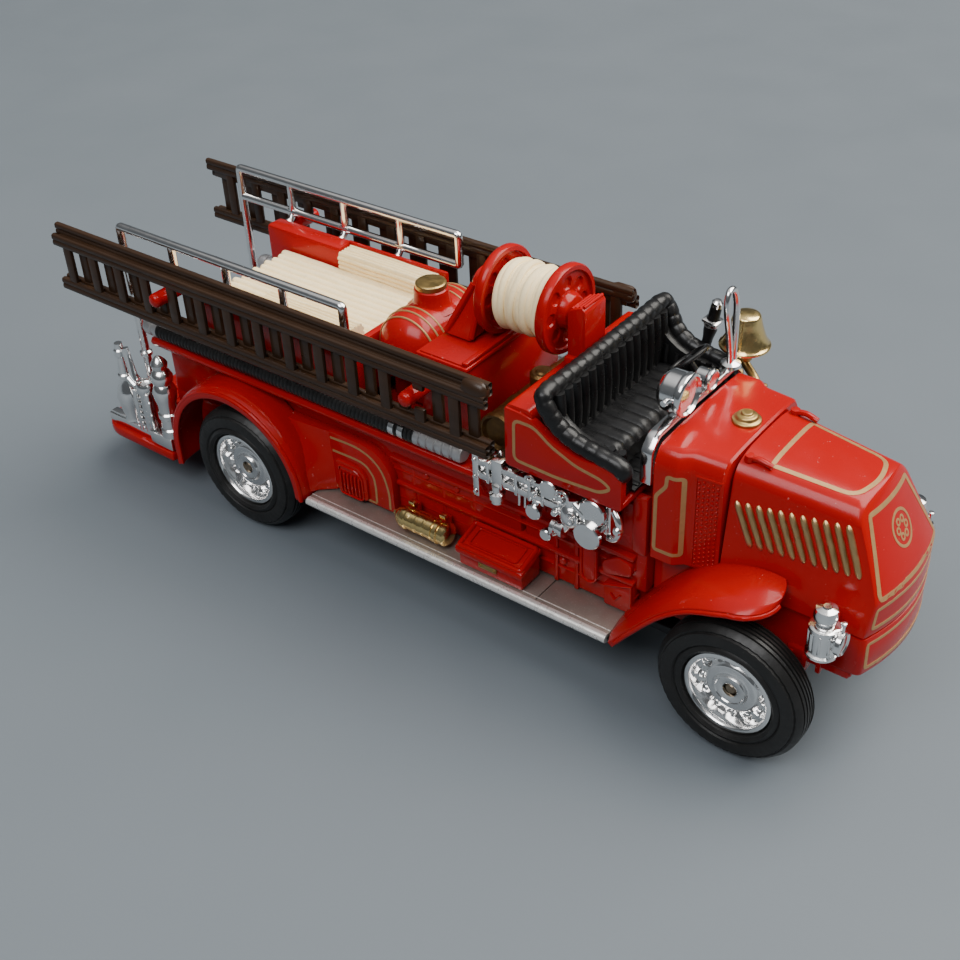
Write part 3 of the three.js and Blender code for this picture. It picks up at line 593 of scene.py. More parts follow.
def wheel_pockets(radius, angle, along):
    """Rounded openings round the edge of the disc."""
    if along > TYRE_Y:
        return 0
    step = TAU / POCKETS
    across = ((angle + step / 2) % step - step / 2) * radius
    share = (across / POCKET_HALF_WIDTH) ** 2 + ((radius - POCKET_RADIUS) / POCKET_HALF_HEIGHT) ** 2
    return POCKET_DEPTH * (1 - smoothstep(0.2, 1.0, share))


TYRE_SECTORS = 144
WHEEL_SECTORS = 288
NOTCH_DEPTH = 0.06


def shoulder_notches(radius, angle, along):
    """Fine notches round the tyre's shoulder."""
    if not TYRE_RADIUS - 0.97 < radius < TYRE_RADIUS - 0.5:
        return 0
    cut = NOTCH_DEPTH if round(angle / TAU * TYRE_SECTORS) % 3 == 0 else 0
    return math.copysign(cut, TYRE_Y - along)


def running_gear():
    for end, x in (("front", WHEELBASE), ("rear", 0)):
        body = f"{end}_wheels"
        tyre = Shape().turned("y", tyre_profile(), x, AXLE_Z, TYRE_SECTORS, shoulder_notches)
        pair(f"{end}_tyre_rubber", tyre, TYRE, (body, body), [f"{end}_tyre"])
        profile = [(r, TYRE_Y - t) for r, t in wheel_profile()]
        wheel = Shape().turned("y", profile, x, AXLE_Z, WHEEL_SECTORS, wheel_pockets)
        pair(f"{end}_wheel_disc", wheel, CHROME, (body, body), [f"{end}_wheel"])
        half = span(f"{end}_axle")[1].y
        ends = [(0, -half), (0.5, -half), (0.72, -half + 0.25), (0.72, half - 0.25), (0.5, half), (0, half)]
        piece(f"{end}_axle_rod", Shape().turned("y", ends, x, AXLE_Z, 24), STEEL, body, [f"{end}_axle"])


# ---- Bonnet ----------------------------------------------------------------------------------------
HOOD_LOW, HOOD_HIGH = span("hood")
HOOD_FRONT_X = 87
NOSE_SLOPE_Z = 22.6
NOSE_LEAN = 0.53
NOSE_ROUNDING = 40
NOSE_MIDDLE_Z = 24.5
HOOD_REAR_HALF = [(0, 33.0), (3.6, 32.9), (5.6, 32.4), (6.7, 31.2), (7.36, 26.5), (7.91, 22.6),
                  (8.2, 20.5), (8.2, 18.5)]
HOOD_FRONT_HALF = [(0, 31.2), (2.2, 31.1), (3.9, 30.75), (4.9, 29.6), (5.92, 26.5), (7.21, 22.6),
                   (7.9, 20.5), (8.2, 18.5)]


def hood_ring(x):
    """The bonnet's section at x, from the bottom right edge over the top to the left."""
    share = (x - HOOD_LOW.x) / (HOOD_FRONT_X - HOOD_LOW.x)
    half = [(lerp(a, c, share), lerp(b, d, share))
            for (a, b), (c, d) in zip(HOOD_REAR_HALF, HOOD_FRONT_HALF)]
    right = [(-y, z) for y, z in reversed(half)]
    outline = fillet(right + half[1:], 1.3, 5, closed=False)
    floor_half, floor_z = half[-1]
    return outline + [(floor_half * (1 - k / 8), floor_z) for k in range(1, 16)]


def nose_x(y, z, reach):
    """Front face of the bonnet and apron: leans back above, bulges in the middle."""
    return reach - NOSE_LEAN * max(0, z - NOSE_SLOPE_Z) - y * y / NOSE_ROUNDING


def hood_shape():
    """The bonnet from its rear section to the rounded nose."""
    rings = []
    steps = 16
    for i in range(steps + 1):
        share = i / steps
        ring = []
        count = len(hood_ring(HOOD_LOW.x))
        for k in range(count):
            x = lerp(HOOD_LOW.x, HOOD_FRONT_X, share)
            for _ in range(6):
                y, z = hood_ring(x)[k]
                x = lerp(HOOD_LOW.x, nose_x(y, z, HOOD_HIGH.x), share)
            ring.append((x, *hood_ring(x)[k]))
        rings.append(ring)
    edge = rings[-1]
    for inset, forward in ((0.985, 0.09), (0.95, 0.14), (0.8, 0.12), (0.6, 0.08), (0.4, 0.03), (0.2, 0)):
        ring = []
        for _, y, z in edge:
            y, z = y * inset, lerp(NOSE_MIDDLE_Z, z, inset)
            ring.append((nose_x(y, z, HOOD_HIGH.x) + forward - 0.18, y, z))
        rings.append(ring)
    rings[steps] = [(x - 0.16, y, z) for x, y, z in edge]
    return Shape().loft(rings)


def slanted(fraction, start, stop):
    return [lerp(a, b, fraction) for a, b in zip(start, stop)]


def louvres():
    """Eleven raised slanting bars on the right side of the bonnet."""
    count = 11
    shape = Shape()
    for i in range(count):
        share = i / (count - 1)
        top = slanted(share, (67.95, 28.5), (79.45, 29.6))
        foot = slanted(share, (70.3, 23.9), (81.8, 24.6))
        path = []
        for k in range(9):
            x, z = slanted(k / 8, top, foot)
            path.append((x, side_y(x, z) - 0.05, z))
        bulge = lambda s: 0.36 * math.sqrt(max(0.1, 1 - (2 * s - 1) ** 10))
        shape.tube(evenly(path, 0.25), bulge, 10)
    return shape


def side_y(x, z):
    """The bonnet's right flank at x and z."""
    ring = [p for p in hood_ring(x) if p[0] <= 0]
    for (ya, za), (yb, zb) in zip(ring, ring[1:]):
        if za <= z <= zb:
            return lerp(ya, yb, (z - za) / (zb - za))
    return ring[0][0]


def hood_lining(surface):
    shape = Shape()
    width = 0.5
    rear_x, side_x, tip_x = 70.3, 79.1, 79.95
    top = [(rear_x, -4.5), (side_x, -3.65), (tip_x, 0)]
    top += [(x, -y) for x, y in reversed(top[:-1])]
    outline = fillet(top, 1.5, 5, closed=False)
    stripe(shape, surface, [(x, y, ABOVE_Z) for x, y in looped(outline)], width, (0, 0, -1))
    half = [(-4.15, 30.3), (-6.6, 23.2), (-6.55, 22.75)]
    nose = fillet(half + [(-y, z) for y, z in reversed(half)], 0.25, 2)
    nose_stripe(shape, surface, looped(nose), width)
    band = [(-7.0, 21.7), (7.0, 21.7), (7.3, 19.4), (-7.3, 19.4)]
    low = fillet(band, 0.25, 2)
    nose_stripe(shape, surface, looped(low), width * 0.8)
    return shape


def nose_roundel(surface):
    """A plain gold ring round a six-petal rosette."""
    shape = Shape()
    z0 = 27.1
    nose_stripe(shape, surface, arc(0, z0, 1.75, 0, 360, 40), 0.3, 0.2)
    for k in range(6):
        turn = 60 * k
        cy, cz = arc(0, z0, 0.85, turn, turn + 1, 1)[0]
        nose_stripe(shape, surface, arc(cy, cz, 0.3, 0, 360, 16), 0.22, 0.1)
    return shape


def bonnet():
    hood = hood_shape()
    surface = hood.surface()
    piece("bonnet_shell", hood, RED, replaces=["hood"])
    piece("bonnet_lining", hood_lining(surface), LINING)
    piece("bonnet_roundel", nose_roundel(surface), LINING)
    pair("bonnet_louvres", louvres(), PALE_GOLD)
    clips = Shape()
    x, y, z = 69.2, -5.0, 32.75
    clips.tube([(x - 1.3, y, z - 0.1), (x, y - 0.05, z + 0.12), (x + 1.4, y, z - 0.25)], 0.33, 10, steps=4)
    clips.turned("z", [(0, z - 0.4), (0.55, z - 0.4), (0.5, z + 0.3), (0, z + 0.42)], x - 1.2, y, 16)
    pair("bonnet_clip", clips, RED)


# ---- Fenders, boards and frame ---------------------------------------------------------------------
def rear_fender():
    """An arched shell with a rolled rim and a web behind it."""
    low, high = span("rear_fender_right")
    radius = (high.x - low.x) / 2
    middle_x = (low.x + high.x) / 2
    middle_z = high.z - radius - 0.5
    leg = 0.12

    def arch(u):
        if u < leg:
            return low.x, lerp(low.z, middle_z, u / leg), -1, 0
        angle = math.pi * (1 - (u - leg) / (1 - leg))
        nx, nz = math.cos(angle), math.sin(angle)
        return middle_x + radius * nx, middle_z + radius * nz, nx, nz

    def face(lift):
        def point(u, v):
            x, z, nx, nz = arch(u)
            sink = lift + 0.3 * smoothstep(0.72, 1, v) ** 2 - 0.16 * math.sin(math.pi * v)
            return x - nx * sink, lerp(high.y, low.y, v), z - nz * sink + 0.5 * (1 - v)
        return point

    shape = Shape().sheet(64, 14, face(0), face(1.0), 0.28)
    rim = [(x - nx * 0.42, low.y + 0.3, z - nz * 0.42)
           for x, z, nx, nz in (arch(i / 60) for i in range(61))]
    shape.tube(rim, 0.34, 10)
    web = []
    for i in range(9):
        z = lerp(9.2, 18.0, i / 8)
        edge = middle_x + math.sqrt(max(0, (radius - 0.5) ** 2 - (z - middle_z) ** 2))
        spread = 3.5 * (1 - 0.75 * smoothstep(11, 18, z))
        web.append([(edge, -10.3 - spread, z), (edge + 1.3, -10.55 - spread * 0.35, z),
                    (13.6, -10.25, z), (13.6, -9.2, z), (edge - 0.5, -9.2, z)])
    shape.loft(web)
    return shape


FENDER_RISE = [(57.2, 9.1), (60.2, 13), (63.2, 16.4), (66.5, 18.9), (70, 20.3), (73, 20.8), (75.45, 20.55)]
TIP = (71.6, -10.3, 3.85)


def front_fender():
    """A sweeping shell with a rounded tip and a rolled lip."""
    low = span("front_fender_right")[0]
    path = evenly([(x, z) for x, z in curve_through(FENDER_RISE, 12)], 0.4)
    last = len(path) - 1

    def limits(x):
        """Inner and outer edge of the fender at x."""
        tip_x, tip_y, tip_r = TIP
        past = min(1, max(0, x - tip_x) / tip_r)
        bend = tip_r * math.sqrt(1 - past * past)
        return min(-8.0, tip_y + bend), lerp(low.y, tip_y - bend, smoothstep(-2.5, 0.5, x - tip_x))

    def face(lift):
        def point(u, v):
            reach = last * (1 - (1 - u) ** 1.7)
            i = min(last - 1, int(reach))
            spot = path[i].lerp(path[i + 1], reach - i)
            along = (path[i + 1] - path[i]).normalized()
            inner, outer = limits(min(spot.x, TIP[0] + TIP[2] - 0.01))
            y = lerp(inner, outer, v)
            height = 1.3 * (y - low.y) / (-8.0 - low.y)
            sink = lift + 0.35 * smoothstep(0.75, 1, v) ** 2 - 0.2 * math.sin(math.pi * v)
            return spot.x + along.y * sink, y, spot.y - along.x * sink + height
        return point

    shape = Shape().sheet(56, 14, face(0), face(0.7), 0.25)
    lip = face(0.45)
    return shape.tube([lip(0.02 + 0.98 * i / 60, 1) for i in range(61)], 0.3, 10)


def running_board():
    """The board in two lengths, and its bright edge."""
    low, high = span("running_board_right")
    top = high.z
    seam = 46.8
    board = Shape()
    for start, stop in ((low.x, seam - 0.06), (seam + 0.06, high.x)):
        board.box((start, stop), (low.y + 0.75, high.y), (low.z, top - 0.02), 0.08)
    edge = Shape()
    edge.tube([(low.x, low.y + 0.56, top - 0.55), (high.x, low.y + 0.56, top - 0.55)], 0.56, 16)
    edge.box((low.x, high.x), (low.y + 0.5, low.y + 0.9), (low.z + 0.05, top + 0.01), 0.1)
    edge.box((low.x, high.x), (low.y + 1.35, low.y + 1.47), (top - 0.1, top + 0.04), 0.02)
    return board, edge


def chassis():
    """Frame, base, fenders and boards."""
    keep("chassis_frame", RED, 0.2)
    keep("base_plate", BASE, 0.25)
    for node in ("base_rivet_rear", "base_rivet_front"):
        keep(node, STEEL, 0.12)
    pair("rear_fender_shell", rear_fender(), RED, nodes=["rear_fender"])
    pair("front_fender_shell", front_fender(), RED, nodes=["front_fender"])
    board, edge = running_board()
    pair("running_board_top", board, BOARD, nodes=["running_board"])
    pair("running_board_edge", edge, SILVER)
    pair("frame_casting", frame_casting(), RED)
    piece("tailboard_casting", tailboard(), RED, replaces=["tailboard"])


def frame_casting():
    """The frame side below the pump: rails, ribs and a drop pipe, cast in one."""
    shape = Shape()
    wall = -8.4
    for low, high, reach in ((17.0, 17.7, 1.2), (15.4, 15.8, 0.8), (13.4, 14.0, 1.1), (11.2, 11.6, 0.7)):
        shape.box((22.5, 57.6), (wall - reach, wall + 0.6), (low, high), 0.18)
    for x in (25.5, 30.2, 34.9, 46.6, 49.4):
        shape.box((x, x + 0.6), (wall - 0.75, wall + 0.6), (9.1, 17.6), 0.16)
    drop = arc(51.9, 12.9, 1.0, 180, 360, 12)
    pocket = [*drop, (52.9, 17.2), (50.9, 17.2)]
    shape.prism("side", pocket, wall - 1.5, wall + 0.4, 0.35)
    shape.tube([(x, wall - 1.45, z) for x, z in [(50.9, 16.8), *drop, (52.9, 16.8)]], 0.2, 8)
    block = [(53.6, 9.1), (57.5, 9.1), (57.5, 13.6), (53.6, 12.3)]
    shape.prism("side", block, wall - 1.0, wall + 0.4, 0.3)
    shape.tube([(53.9, wall - 1.05, 12.2), (57.3, wall - 1.05, 13.3), (57.3, wall - 1.05, 9.3)], 0.2, 8)
    shape.tube([(54.6, wall - 1.0, 11.2), (55.2, wall - 1.05, 10.4), (55.9, wall - 1.0, 11.4)], 0.16, 8)
    shape.prism("side", fillet([(53.6, 13.8), (57.4, 14.9), (57.4, 16.6), (55.6, 17), (53.6, 15.6)], 0.5,
                               3), wall - 1.3, wall + 0.4, 0.3)
    for x, z in ((27.9, 16.4), (32.6, 16.4), (47.9, 12.5)):
        shape.turned("y", shifted(wall, [(0, 0), (0.5, 0), (0.5, -0.8), (0.35, -0.95), (0, -0.95)]), x, z,
                     16)
    for i in range(5):
        shape.box((42.9 + 0.75 * i, 43.3 + 0.75 * i), (wall - 0.75, wall + 0.6), (18.5, 21.4), 0.12)
    return shape


def tailboard():
    """A board with rounded rear corners and tread ribs."""
    low, high = span("tailboard")
    corner = 4.5
    outline = [(high.x, low.y), (high.x, high.y)]
    outline += arc(low.x + corner, high.y - corner, corner, 90, 180, 10)
    outline += arc(low.x + corner, low.y + corner, corner, 180, 270, 10)
    shape = Shape().prism("plan", outline, low.z, high.z, 0.35)
    for x in range(-26, -20, 1):
        shape.box((x, x + 0.35), (-8.5, 8.5), (high.z - 0.1, high.z + 0.16), 0.08)
    return shape


# ---- Rear body -------------------------------------------------------------------------------------
PEG_Z = 31.4
REAR_PEG_X, FRONT_PEG_X = -10.4, 30.6


def pegs(shape, x, root):
    """A ladder peg on the right-hand side, with its round head."""
    tip = span("hose_body")[0].y
    profile = [(0, root), (0.95, root), (0.95, tip + 0.6), (0.85, tip + 0.25), (0.6, tip + 0.05), (0, tip)]
    return shape.turned("y", profile, x, PEG_Z, 24)


def bed_casting():
    low = span("hose_body")[0]
    side = Shape()
    side.box((-17, 42), (-9.1, 0), (12.7, 21.9), 0.45)
    side.prism("front", [(-7, 21.0), (-11.35, 21.05), (-11.6, 21.6), (-11.3, 22.2), (-7, 22.3)], low.x,
               37.4, 0.18)
    side.prism("side", skirt_outline(), -10.3, -8.8, 0.4)
    side.box((12.9, 42), (-9.05, -7.9), (9.2, 13.4), 0.2)
    side.box((1.2, 18), (-9.4, -8.75), (22.1, 33), 0.3)
    side.box((16.9, 18), (-9.2, 0), (22.1, 31.2), 0.3)
    side.box((-11.5, 18), (-9.2, 0), (22, 24), 0.2)
    pegs(side, REAR_PEG_X, -9.2)
    side.both()
    side.box((-11.5, 1.8), (-9.4, -6.6), (22.1, 31.3), 0.45)
    return side.box((-11.5, 1.8), (6.6, 9.4), (22.1, 33), 0.55)


def skirt_outline():
    return [(12.9, 9.2), (23.3, 9.2), *arc(18.7, 13.6, 4.6, 0, 90, 10), (12.9, 18.2)]


def locker():
    """The louvred locker door on the side panel."""
    face = -10.3
    outline = fillet([(13.9, 9.5), (19.2, 9.5), (19.2, 13.4), (17.9, 14.5), (13.9, 14.5)], 0.8, 4)
    shape = Shape().prism("side", outline, face - 0.35, face + 0.3, 0.22)
    inner = fillet([(14.6, 9.5), (18.5, 9.5), (18.5, 13.0), (17.5, 13.8), (14.6, 13.8)], 0.7, 4)
    shape.tube([(x, face - 0.4, z) for x, z in inner], 0.17, 8, closed=True)
    for i in range(6):
        x = 14.95 + 0.62 * i
        shape.tube([(x, face - 0.38, 9.9), (x, face - 0.52, 10.3), (x, face - 0.52, 12.6),
                    (x, face - 0.38, 13.0)], 0.2, 8)
    return shape


def panel_lining(surface):
    shape = Shape()
    outer = curve_through([(9.2, 16.8), (13.4, 17.2), (18.3, 17.2), (21.3, 15.6), (22.5, 12.6),
                           (22.6, 9.7)], 8)
    inner = curve_through([(13.6, 15.3), (18.2, 15.3), (19.9, 14.2), (20.4, 12.6), (20.4, 9.9)], 8)
    for line in (outer[6:], inner):
        side_stripe(shape, surface, line, 0.32)
    return side_stripe(shape, surface, [(13.6, 9.75), (20.4, 9.75)], 0.28)


def hose_load():
    """Flat folds of hose: ridges along the bed, each with its own rounded rear end."""
    low, high = span("hose_load")
    half = 6.35
    folds = 11

    def top(u, v):
        y = lerp(-half, half, v)
        share = (v * folds) % 1
        ridge = math.sin(math.pi * share) ** 0.6
        fold = int(min(folds - 1, v * folds))
        rear = low.x + 0.35 * (1 - ridge) + 0.3 * math.sin(fold * 2.4)
        x = lerp(rear, high.x, u ** 1.5)
        wobble = 0.12 * noise.noise(Vector((x * 0.25, fold * 3.1, 0)))
        drop = 1.3 * (1 - smoothstep(0, 0.8, (x - rear) + 0.2)) ** 2
        return x, y + 0.1 * noise.noise(Vector((x * 0.2, fold, 5))), 30.05 + 0.38 * ridge + wobble - drop

    def bottom(u, v):
        x, y, _ = top(u, v)
        return x, y, low.z

    shape = Shape().sheet(60, folds * 9, top, bottom)
    for side in (-1, 1):
        layers = 5

        def face(u, v, side=side):
            x = lerp(2.1, high.x, u)
            share = (v * layers) % 1
            ridge = math.sin(math.pi * share) ** 0.6
            level = v * layers
            wobble = 0.1 * noise.noise(Vector((x * 0.3, side * 9, level)))
            y = lerp(6.1, 8.75, v)
            return x, side * y, 32.35 + 0.4 * ridge + wobble

        def under(u, v, side=side):
            x, y, _ = face(u, v)
            return x, y, 25.0
        shape.sheet(40, layers * 9, face, under)
        for k in range(4):
            z = 31.9 - 0.62 * k
            path = [(lerp(2.1, high.x, i / 12), side * (6.12 + 0.05 * math.sin(i + k)), z)
                    for i in range(13)]
            shape.tube(path, 0.3, 8)
    return shape


def water_tank():
    """A barrel lying across the body, with its filler neck and bands."""
    low, high = span("water_tank")
    x = (low.x + high.x) / 2
    radius = (high.x - low.x) / 2
    half = high.y
    z = 30.3
    dome = [(radius * math.sin(a), half - 3.6 + 3.6 * math.cos(a))
            for a in (math.pi * k / 24 for k in range(13))]
    profile = dome + [(r, -t) for r, t in reversed(dome)]
    shape = Shape().turned("y", profile, x, z, 64)
    neck = [(0, 32), (3.1, 34.0), (2.5, 34.4), (2.2, 34.9), (2.15, 36.0), (2.05, high.z - 0.15),
            (1.85, high.z), (0, high.z)]
    shape.turned("z", neck, x, 0, 40)
    shape.box((x - 3.4, x + 3.4), (-4.2, 4.2), (low.z, 29), 0.4)
    bands = Shape()
    for y in (2.7, 3.8, 4.9):
        r = radius * math.sin(math.acos(max(0, y - half + 3.6) / 3.6))
        for side in (-1, 1):
            ring = [(a, side * y, b) for a, b in around(x, z, r, 64)]
            bands.tube(ring, 0.14, 8, closed=True)
    return shape, bands


def cap(node, rise):
    """A gold cap turned from a profile of (share of radius, height over its base)."""
    low, high = span(node)
    x, y, _ = halfway(low, high)
    radius = (high.x - low.x) / 2
    outline = fillet([(radius * r, low.z + h) for r, h in rise], 0.16, 3, closed=False)
    return Shape().turned("z", [(0, low.z), *outline], x, y, 48)


REEL_Z = centre("hose_reel").z / MM


def spoked_disc(shape, x, thickness):
    """A reel flange with a raised rim, hub and eight round openings."""
    radius = (span("hose_reel")[1].z - span("hose_reel")[0].z) / 2
    half = thickness / 2
    front = [(0.75, half), (1.5, half), (1.7, half * 0.5)]
    front += [(1.7 + 0.14 * k, half * 0.5) for k in range(1, 19)]
    front += [(4.4, half * 0.55), (4.55, half), (radius - 0.15, half), (radius, half * 0.6)]
    profile = [(r, x + t) for r, t in front] + [(r, x - t) for r, t in reversed(front)]

    def openings(r, angle, along):
        step = TAU / 8
        across = ((angle + step / 2) % step - step / 2) * r
        share = (across ** 2 + (r - 3.15) ** 2) / 0.75 ** 2
        depth = half * 0.5 - 0.06
        return -math.copysign(depth, along - x) * (1 - smoothstep(0.75, 1.1, share))
    return shape.turned("x", profile, 0, REEL_Z, 128, openings)


def reel():
    low, high = span("hose_reel")
    drum = Shape()
    spoked_disc(drum, 33.75, 1.1)
    spoked_disc(drum, 42.1, 1.2)
    core = fillet([(0.7, low.x), (0.7, 33), (2.2, 33.6), (2.2, 42.5), (1.8, 43.4), (0.7, 43.5),
                   (0.7, high.x)], 0.15, 2, False)
    drum.turned("x", [(0, low.x), *core, (0, high.x)], 0, REEL_Z, 40)
    piece("reel_drum", drum, RED, "reel", ["hose_reel"])
    hose = Shape()
    start, stop = span("reel_hose")[0].x, span("reel_hose")[1].x
    turns, per_turn = 11, 40
    wraps = []
    for i in range(turns * per_turn + 1):
        share = i / (turns * per_turn)
        angle = TAU * i / per_turn
        hump = 0.62 * abs(math.sin(math.pi * (share * 3.4 + 0.2))) - 0.3
        uneven = 0.2 * noise.noise(Vector((share * 14, math.cos(angle), math.sin(angle))))
        r = 3.42 + hump + uneven
        x = lerp(start + 0.48, stop - 0.48, share) + 0.12 * math.sin(angle * 2 + share * 9)
        wraps.append((x, r * math.cos(angle), REEL_Z + r * math.sin(angle)))
    hose.tube(wraps, 0.46, 10)
    bed = [(0, start), (2.9, start), (3.15, start + 1.5), (3.0, stop - 1.5), (2.8, stop), (0, stop)]
    hose.turned("x", bed, 0, REEL_Z, 40)
    piece("reel_hose_wraps", hose, CREAM, "reel", ["reel_hose"])


def reel_stand():
    low, high = span("reel_locker")
    box = Shape().box((low.x, high.x), (-9.1, 9.1), (low.z, high.z), 0.5)
    box.box((low.x - 0.2, high.x + 0.2), (-9.3, 9.3), (high.z - 0.9, high.z - 0.3), 0.25)
    box.box((high.x - 0.75, high.x), (-9.0, 9.0), (high.z - 0.3, high.z + 0.22), 0.18)
    head = Shape()
    pegs(head, FRONT_PEG_X, -9.0).both()
    piece("reel_locker_pegs", head, RED)
    piece("reel_locker_box", box, RED, replaces=["reel_locker"])
    rear = Shape()
    base = span("reel_bracket_rear")[0].z
    stand = []
    for k in range(7):
        share = k / 6
        half, back = lerp(5.0, 2.0, share ** 0.8), lerp(28.4, 31.0, share)
        z = lerp(base, REEL_Z + 0.5, share)
        stand.append([(back, -half, z), (32.5, -half, z), (32.5, half, z), (back, half, z)])
    rear.loft(stand, 0.25)
    rear.turned("x", [(0, 30.4), (1.7, 30.4), (2.0, 30.7), (2.0, 32.8), (1.3, 32.9), (0, 32.9)], 0,
                REEL_Z, 36)
    for side in (-1, 1):
        rear.tube([(28.8, side * 4.6, base + 0.2), (30.9, side * 1.9, REEL_Z + 0.6)], 0.45, 10)
        rear.tube([(32.3, side * 4.6, base + 0.2), (32.3, side * 1.9, REEL_Z + 0.6)], 0.4, 10)
    piece("reel_stand_rear", rear, RED, replaces=["reel_bracket_rear"])
    low, high = span("reel_bracket_front")
    front = Shape()
    outline = [(low.x, low.z), (high.x, low.z), (high.x, high.z - 0.5), (high.x - 0.5, high.z),
               (low.x + 0.3, high.z - 0.7), (low.x, high.z - 1.2)]
    front.prism("side", outline, low.y, high.y, 0.3)
    for i in range(4):
        x = low.x + 0.55 + 0.5 * i
        z = high.z - 0.68 + 0.2 * i
        front.tube([(x, low.y + 0.3, z), (x, high.y - 0.3, z)], 0.2, 8)
    front.box((low.x, high.x), (low.y - 0.7, high.y + 0.7), (low.z, low.z + 1.2), 0.3)
    piece("reel_stand_front", front, RED, replaces=["reel_bracket_front"])


def fuel_barrel():
    low, high = span("fuel_barrel")
    radius = 2.5
    x = low.x + radius
    z = 26.7
    half = high.y
    end = shifted(half, [(0, -0.5), (1.8, -0.45), (2.1, 0), (2.4, 0), (radius, -0.25), (radius, -0.8),
                        (2.36, -1.1)])
    middle = [(2.4, 4.6), (radius, 4.4), (radius, 3.9), (2.4, 3.7)]
    side = end + middle
    profile = side + [(r, -t) for r, t in reversed(side)]
    shape = Shape().turned("y", profile, x, z, 48)
    fx, fy = x + 0.4, -0.6
    top = high.z
    filler = [(0, z), (1.1, z)]
    filler += shifted(top, [(1.1, -2.0), (1.5, -1.7), (1.5, -0.5), (1.25, -0.2), (0.9, -0.2),
                            (0.7, 0), (0, 0)])
    shape.turned("z", filler, fx, fy, 32)
    for y in (-5.7, 5.7):
        shape.box((x - 1.4, x + 1.4), (y - 0.7, y + 0.7), (low.z, z - 1.5), 0.2)
    return shape


def rear_body():
    bed = bed_casting()
    surface = bed.surface()
    piece("hose_bed", bed, RED, replaces=["hose_body"])
    pair("locker_door", locker(), RED)
    pair("panel_lining", panel_lining(surface), LINING)
    piece("hose_folds", hose_load(), CREAM, replaces=["hose_load"])
    tank, bands = water_tank()
    piece("water_tank_shell", tank, RED, replaces=["water_tank"])
    piece("water_tank_bands", bands, LINING)
    tank_lid = [(0.84, -0.2), (0.84, 0.35), (0.74, 0.48), (0, 0.5)]
    piece("water_tank_lid", cap("tank_cap", tank_lid), OLD_GOLD, replaces=["tank_cap"])
    reel()
    reel_stand()
    piece("fuel_barrel_drum", fuel_barrel(), BRONZE, replaces=["fuel_barrel"])


# ---- Cowl and apron --------------------------------------------------------------------------------
def cowl_ring(half, top, base):
    side = [(-half, base), (-half, top - 2.1), (-half + 1.0, top - 0.25), (-half * 0.45, top),
            (0, top + 0.05)]
    outline = side + [(-y, z) for y, z in reversed(side[:-1])]
    return fillet(outline, 0.9, 4, closed=False)


def cowl():
    low, high = span("cowl")
    stations = [(low.x, high.y - 0.2, high.z - 0.2), (low.x + 0.2, high.y, high.z), (61.9, high.y, high.z),
                (62.3, high.y - 0.1, high.z - 0.02), (63.2, high.y - 0.85, high.z - 0.04),
                (63.6, high.y - 0.95, high.z - 0.05), (66.75, 8.3, 33.15), (high.x, 8.1, 32.95)]
    rings = [[(x, y, z) for y, z in cowl_ring(half, top, low.z)] for x, half, top in stations]
    shape = Shape().loft(rings)
    surface = shape.surface()
    lining = Shape()
    outline = fillet([(59.95, 20.2), (62.9, 20.2), (62.9, 30.2), (61.2, 30.2), (61.1, 28.9),
                      (59.95, 27.3)], 0.3, 3)
    side_stripe(lining, surface, looped(outline), 0.42)
    mesh = Shape()
    columns, rows = 5, 19
    for i in range(columns):
        for j in range(rows):
            x = 64.35 + 0.52 * i
            z = 19.6 + 0.58 * j + (0.29 if i % 2 else 0)
            hit, normal, _, _ = surface.ray_cast(Vector((x, BESIDE_Y, z)), Vector((0, 1, 0)))
            stud(mesh, hit, normal, 0.2)
    frame_line = [(64.05, 19.3), (66.85, 19.3), (66.85, 30.8), (64.05, 30.8)]
    border = Shape()
    side_stripe(border, surface, looped(frame_line), 0.22, lift=0.12)
    piece("cowl_shell", shape, RED, replaces=["cowl"])
    pair("cowl_lining", lining, LINING)
    pair("cowl_mesh", mesh, RED)
    pair("cowl_mesh_border", border, RED)


def stud(shape, place, normal, size):
    """A small raised stud on a surface."""
    across = normal.orthogonal().normalized() * size
    along = normal.cross(across)
    ring = [place + across * math.cos(TAU * k / 8) + along * math.sin(TAU * k / 8) for k in range(8)]
    upper = [place + (p - place) * 0.6 + normal * size * 0.7 for p in ring]
    lower = [p - normal * 0.05 for p in ring]
    return shape.loft([lower, ring, upper])


def apron():
    high = span("front_apron")[1]
    base = 13.2
    reach = HOOD_HIGH.x - 0.06
    front = [(nose_x(y, 15, reach), y) for y in (lerp(-8.2, 8.2, k / 16) for k in range(17))]
    outline = fillet([(78, 8.2), (78, -8.2), *front], 0.5, 2)
    shape = Shape().prism("plan", outline, base, high.z, 0.3)
    surface = shape.surface()
    for side in (-1, 1):
        shape.box((75.5, 82.6), (side * 7.1 - 0.8, side * 7.1 + 0.8), (12.0, 13.4), 0.25)
        for x in (75.8, 77.4, 79.0):
            shape.box((x, x + 0.6), (side * 7.2 - 0.95, side * 7.2 + 0.95), (11.3, 13.0), 0.18)
        shape.box((80.6, 82.8), (side * 6.9 - 0.9, side * 6.9 + 0.9), (12.3, 13.4), 0.2)
    lining = Shape()
    band = fillet([(-7.5, 17.4), (7.5, 17.4), (7.4, 14.1), (-7.4, 14.1)], 0.25, 2)
    nose_stripe(lining, surface, looped(band), 0.4)
    piece("apron_shell", shape, RED, replaces=["front_apron"])
    piece("apron_lining", lining, LINING)


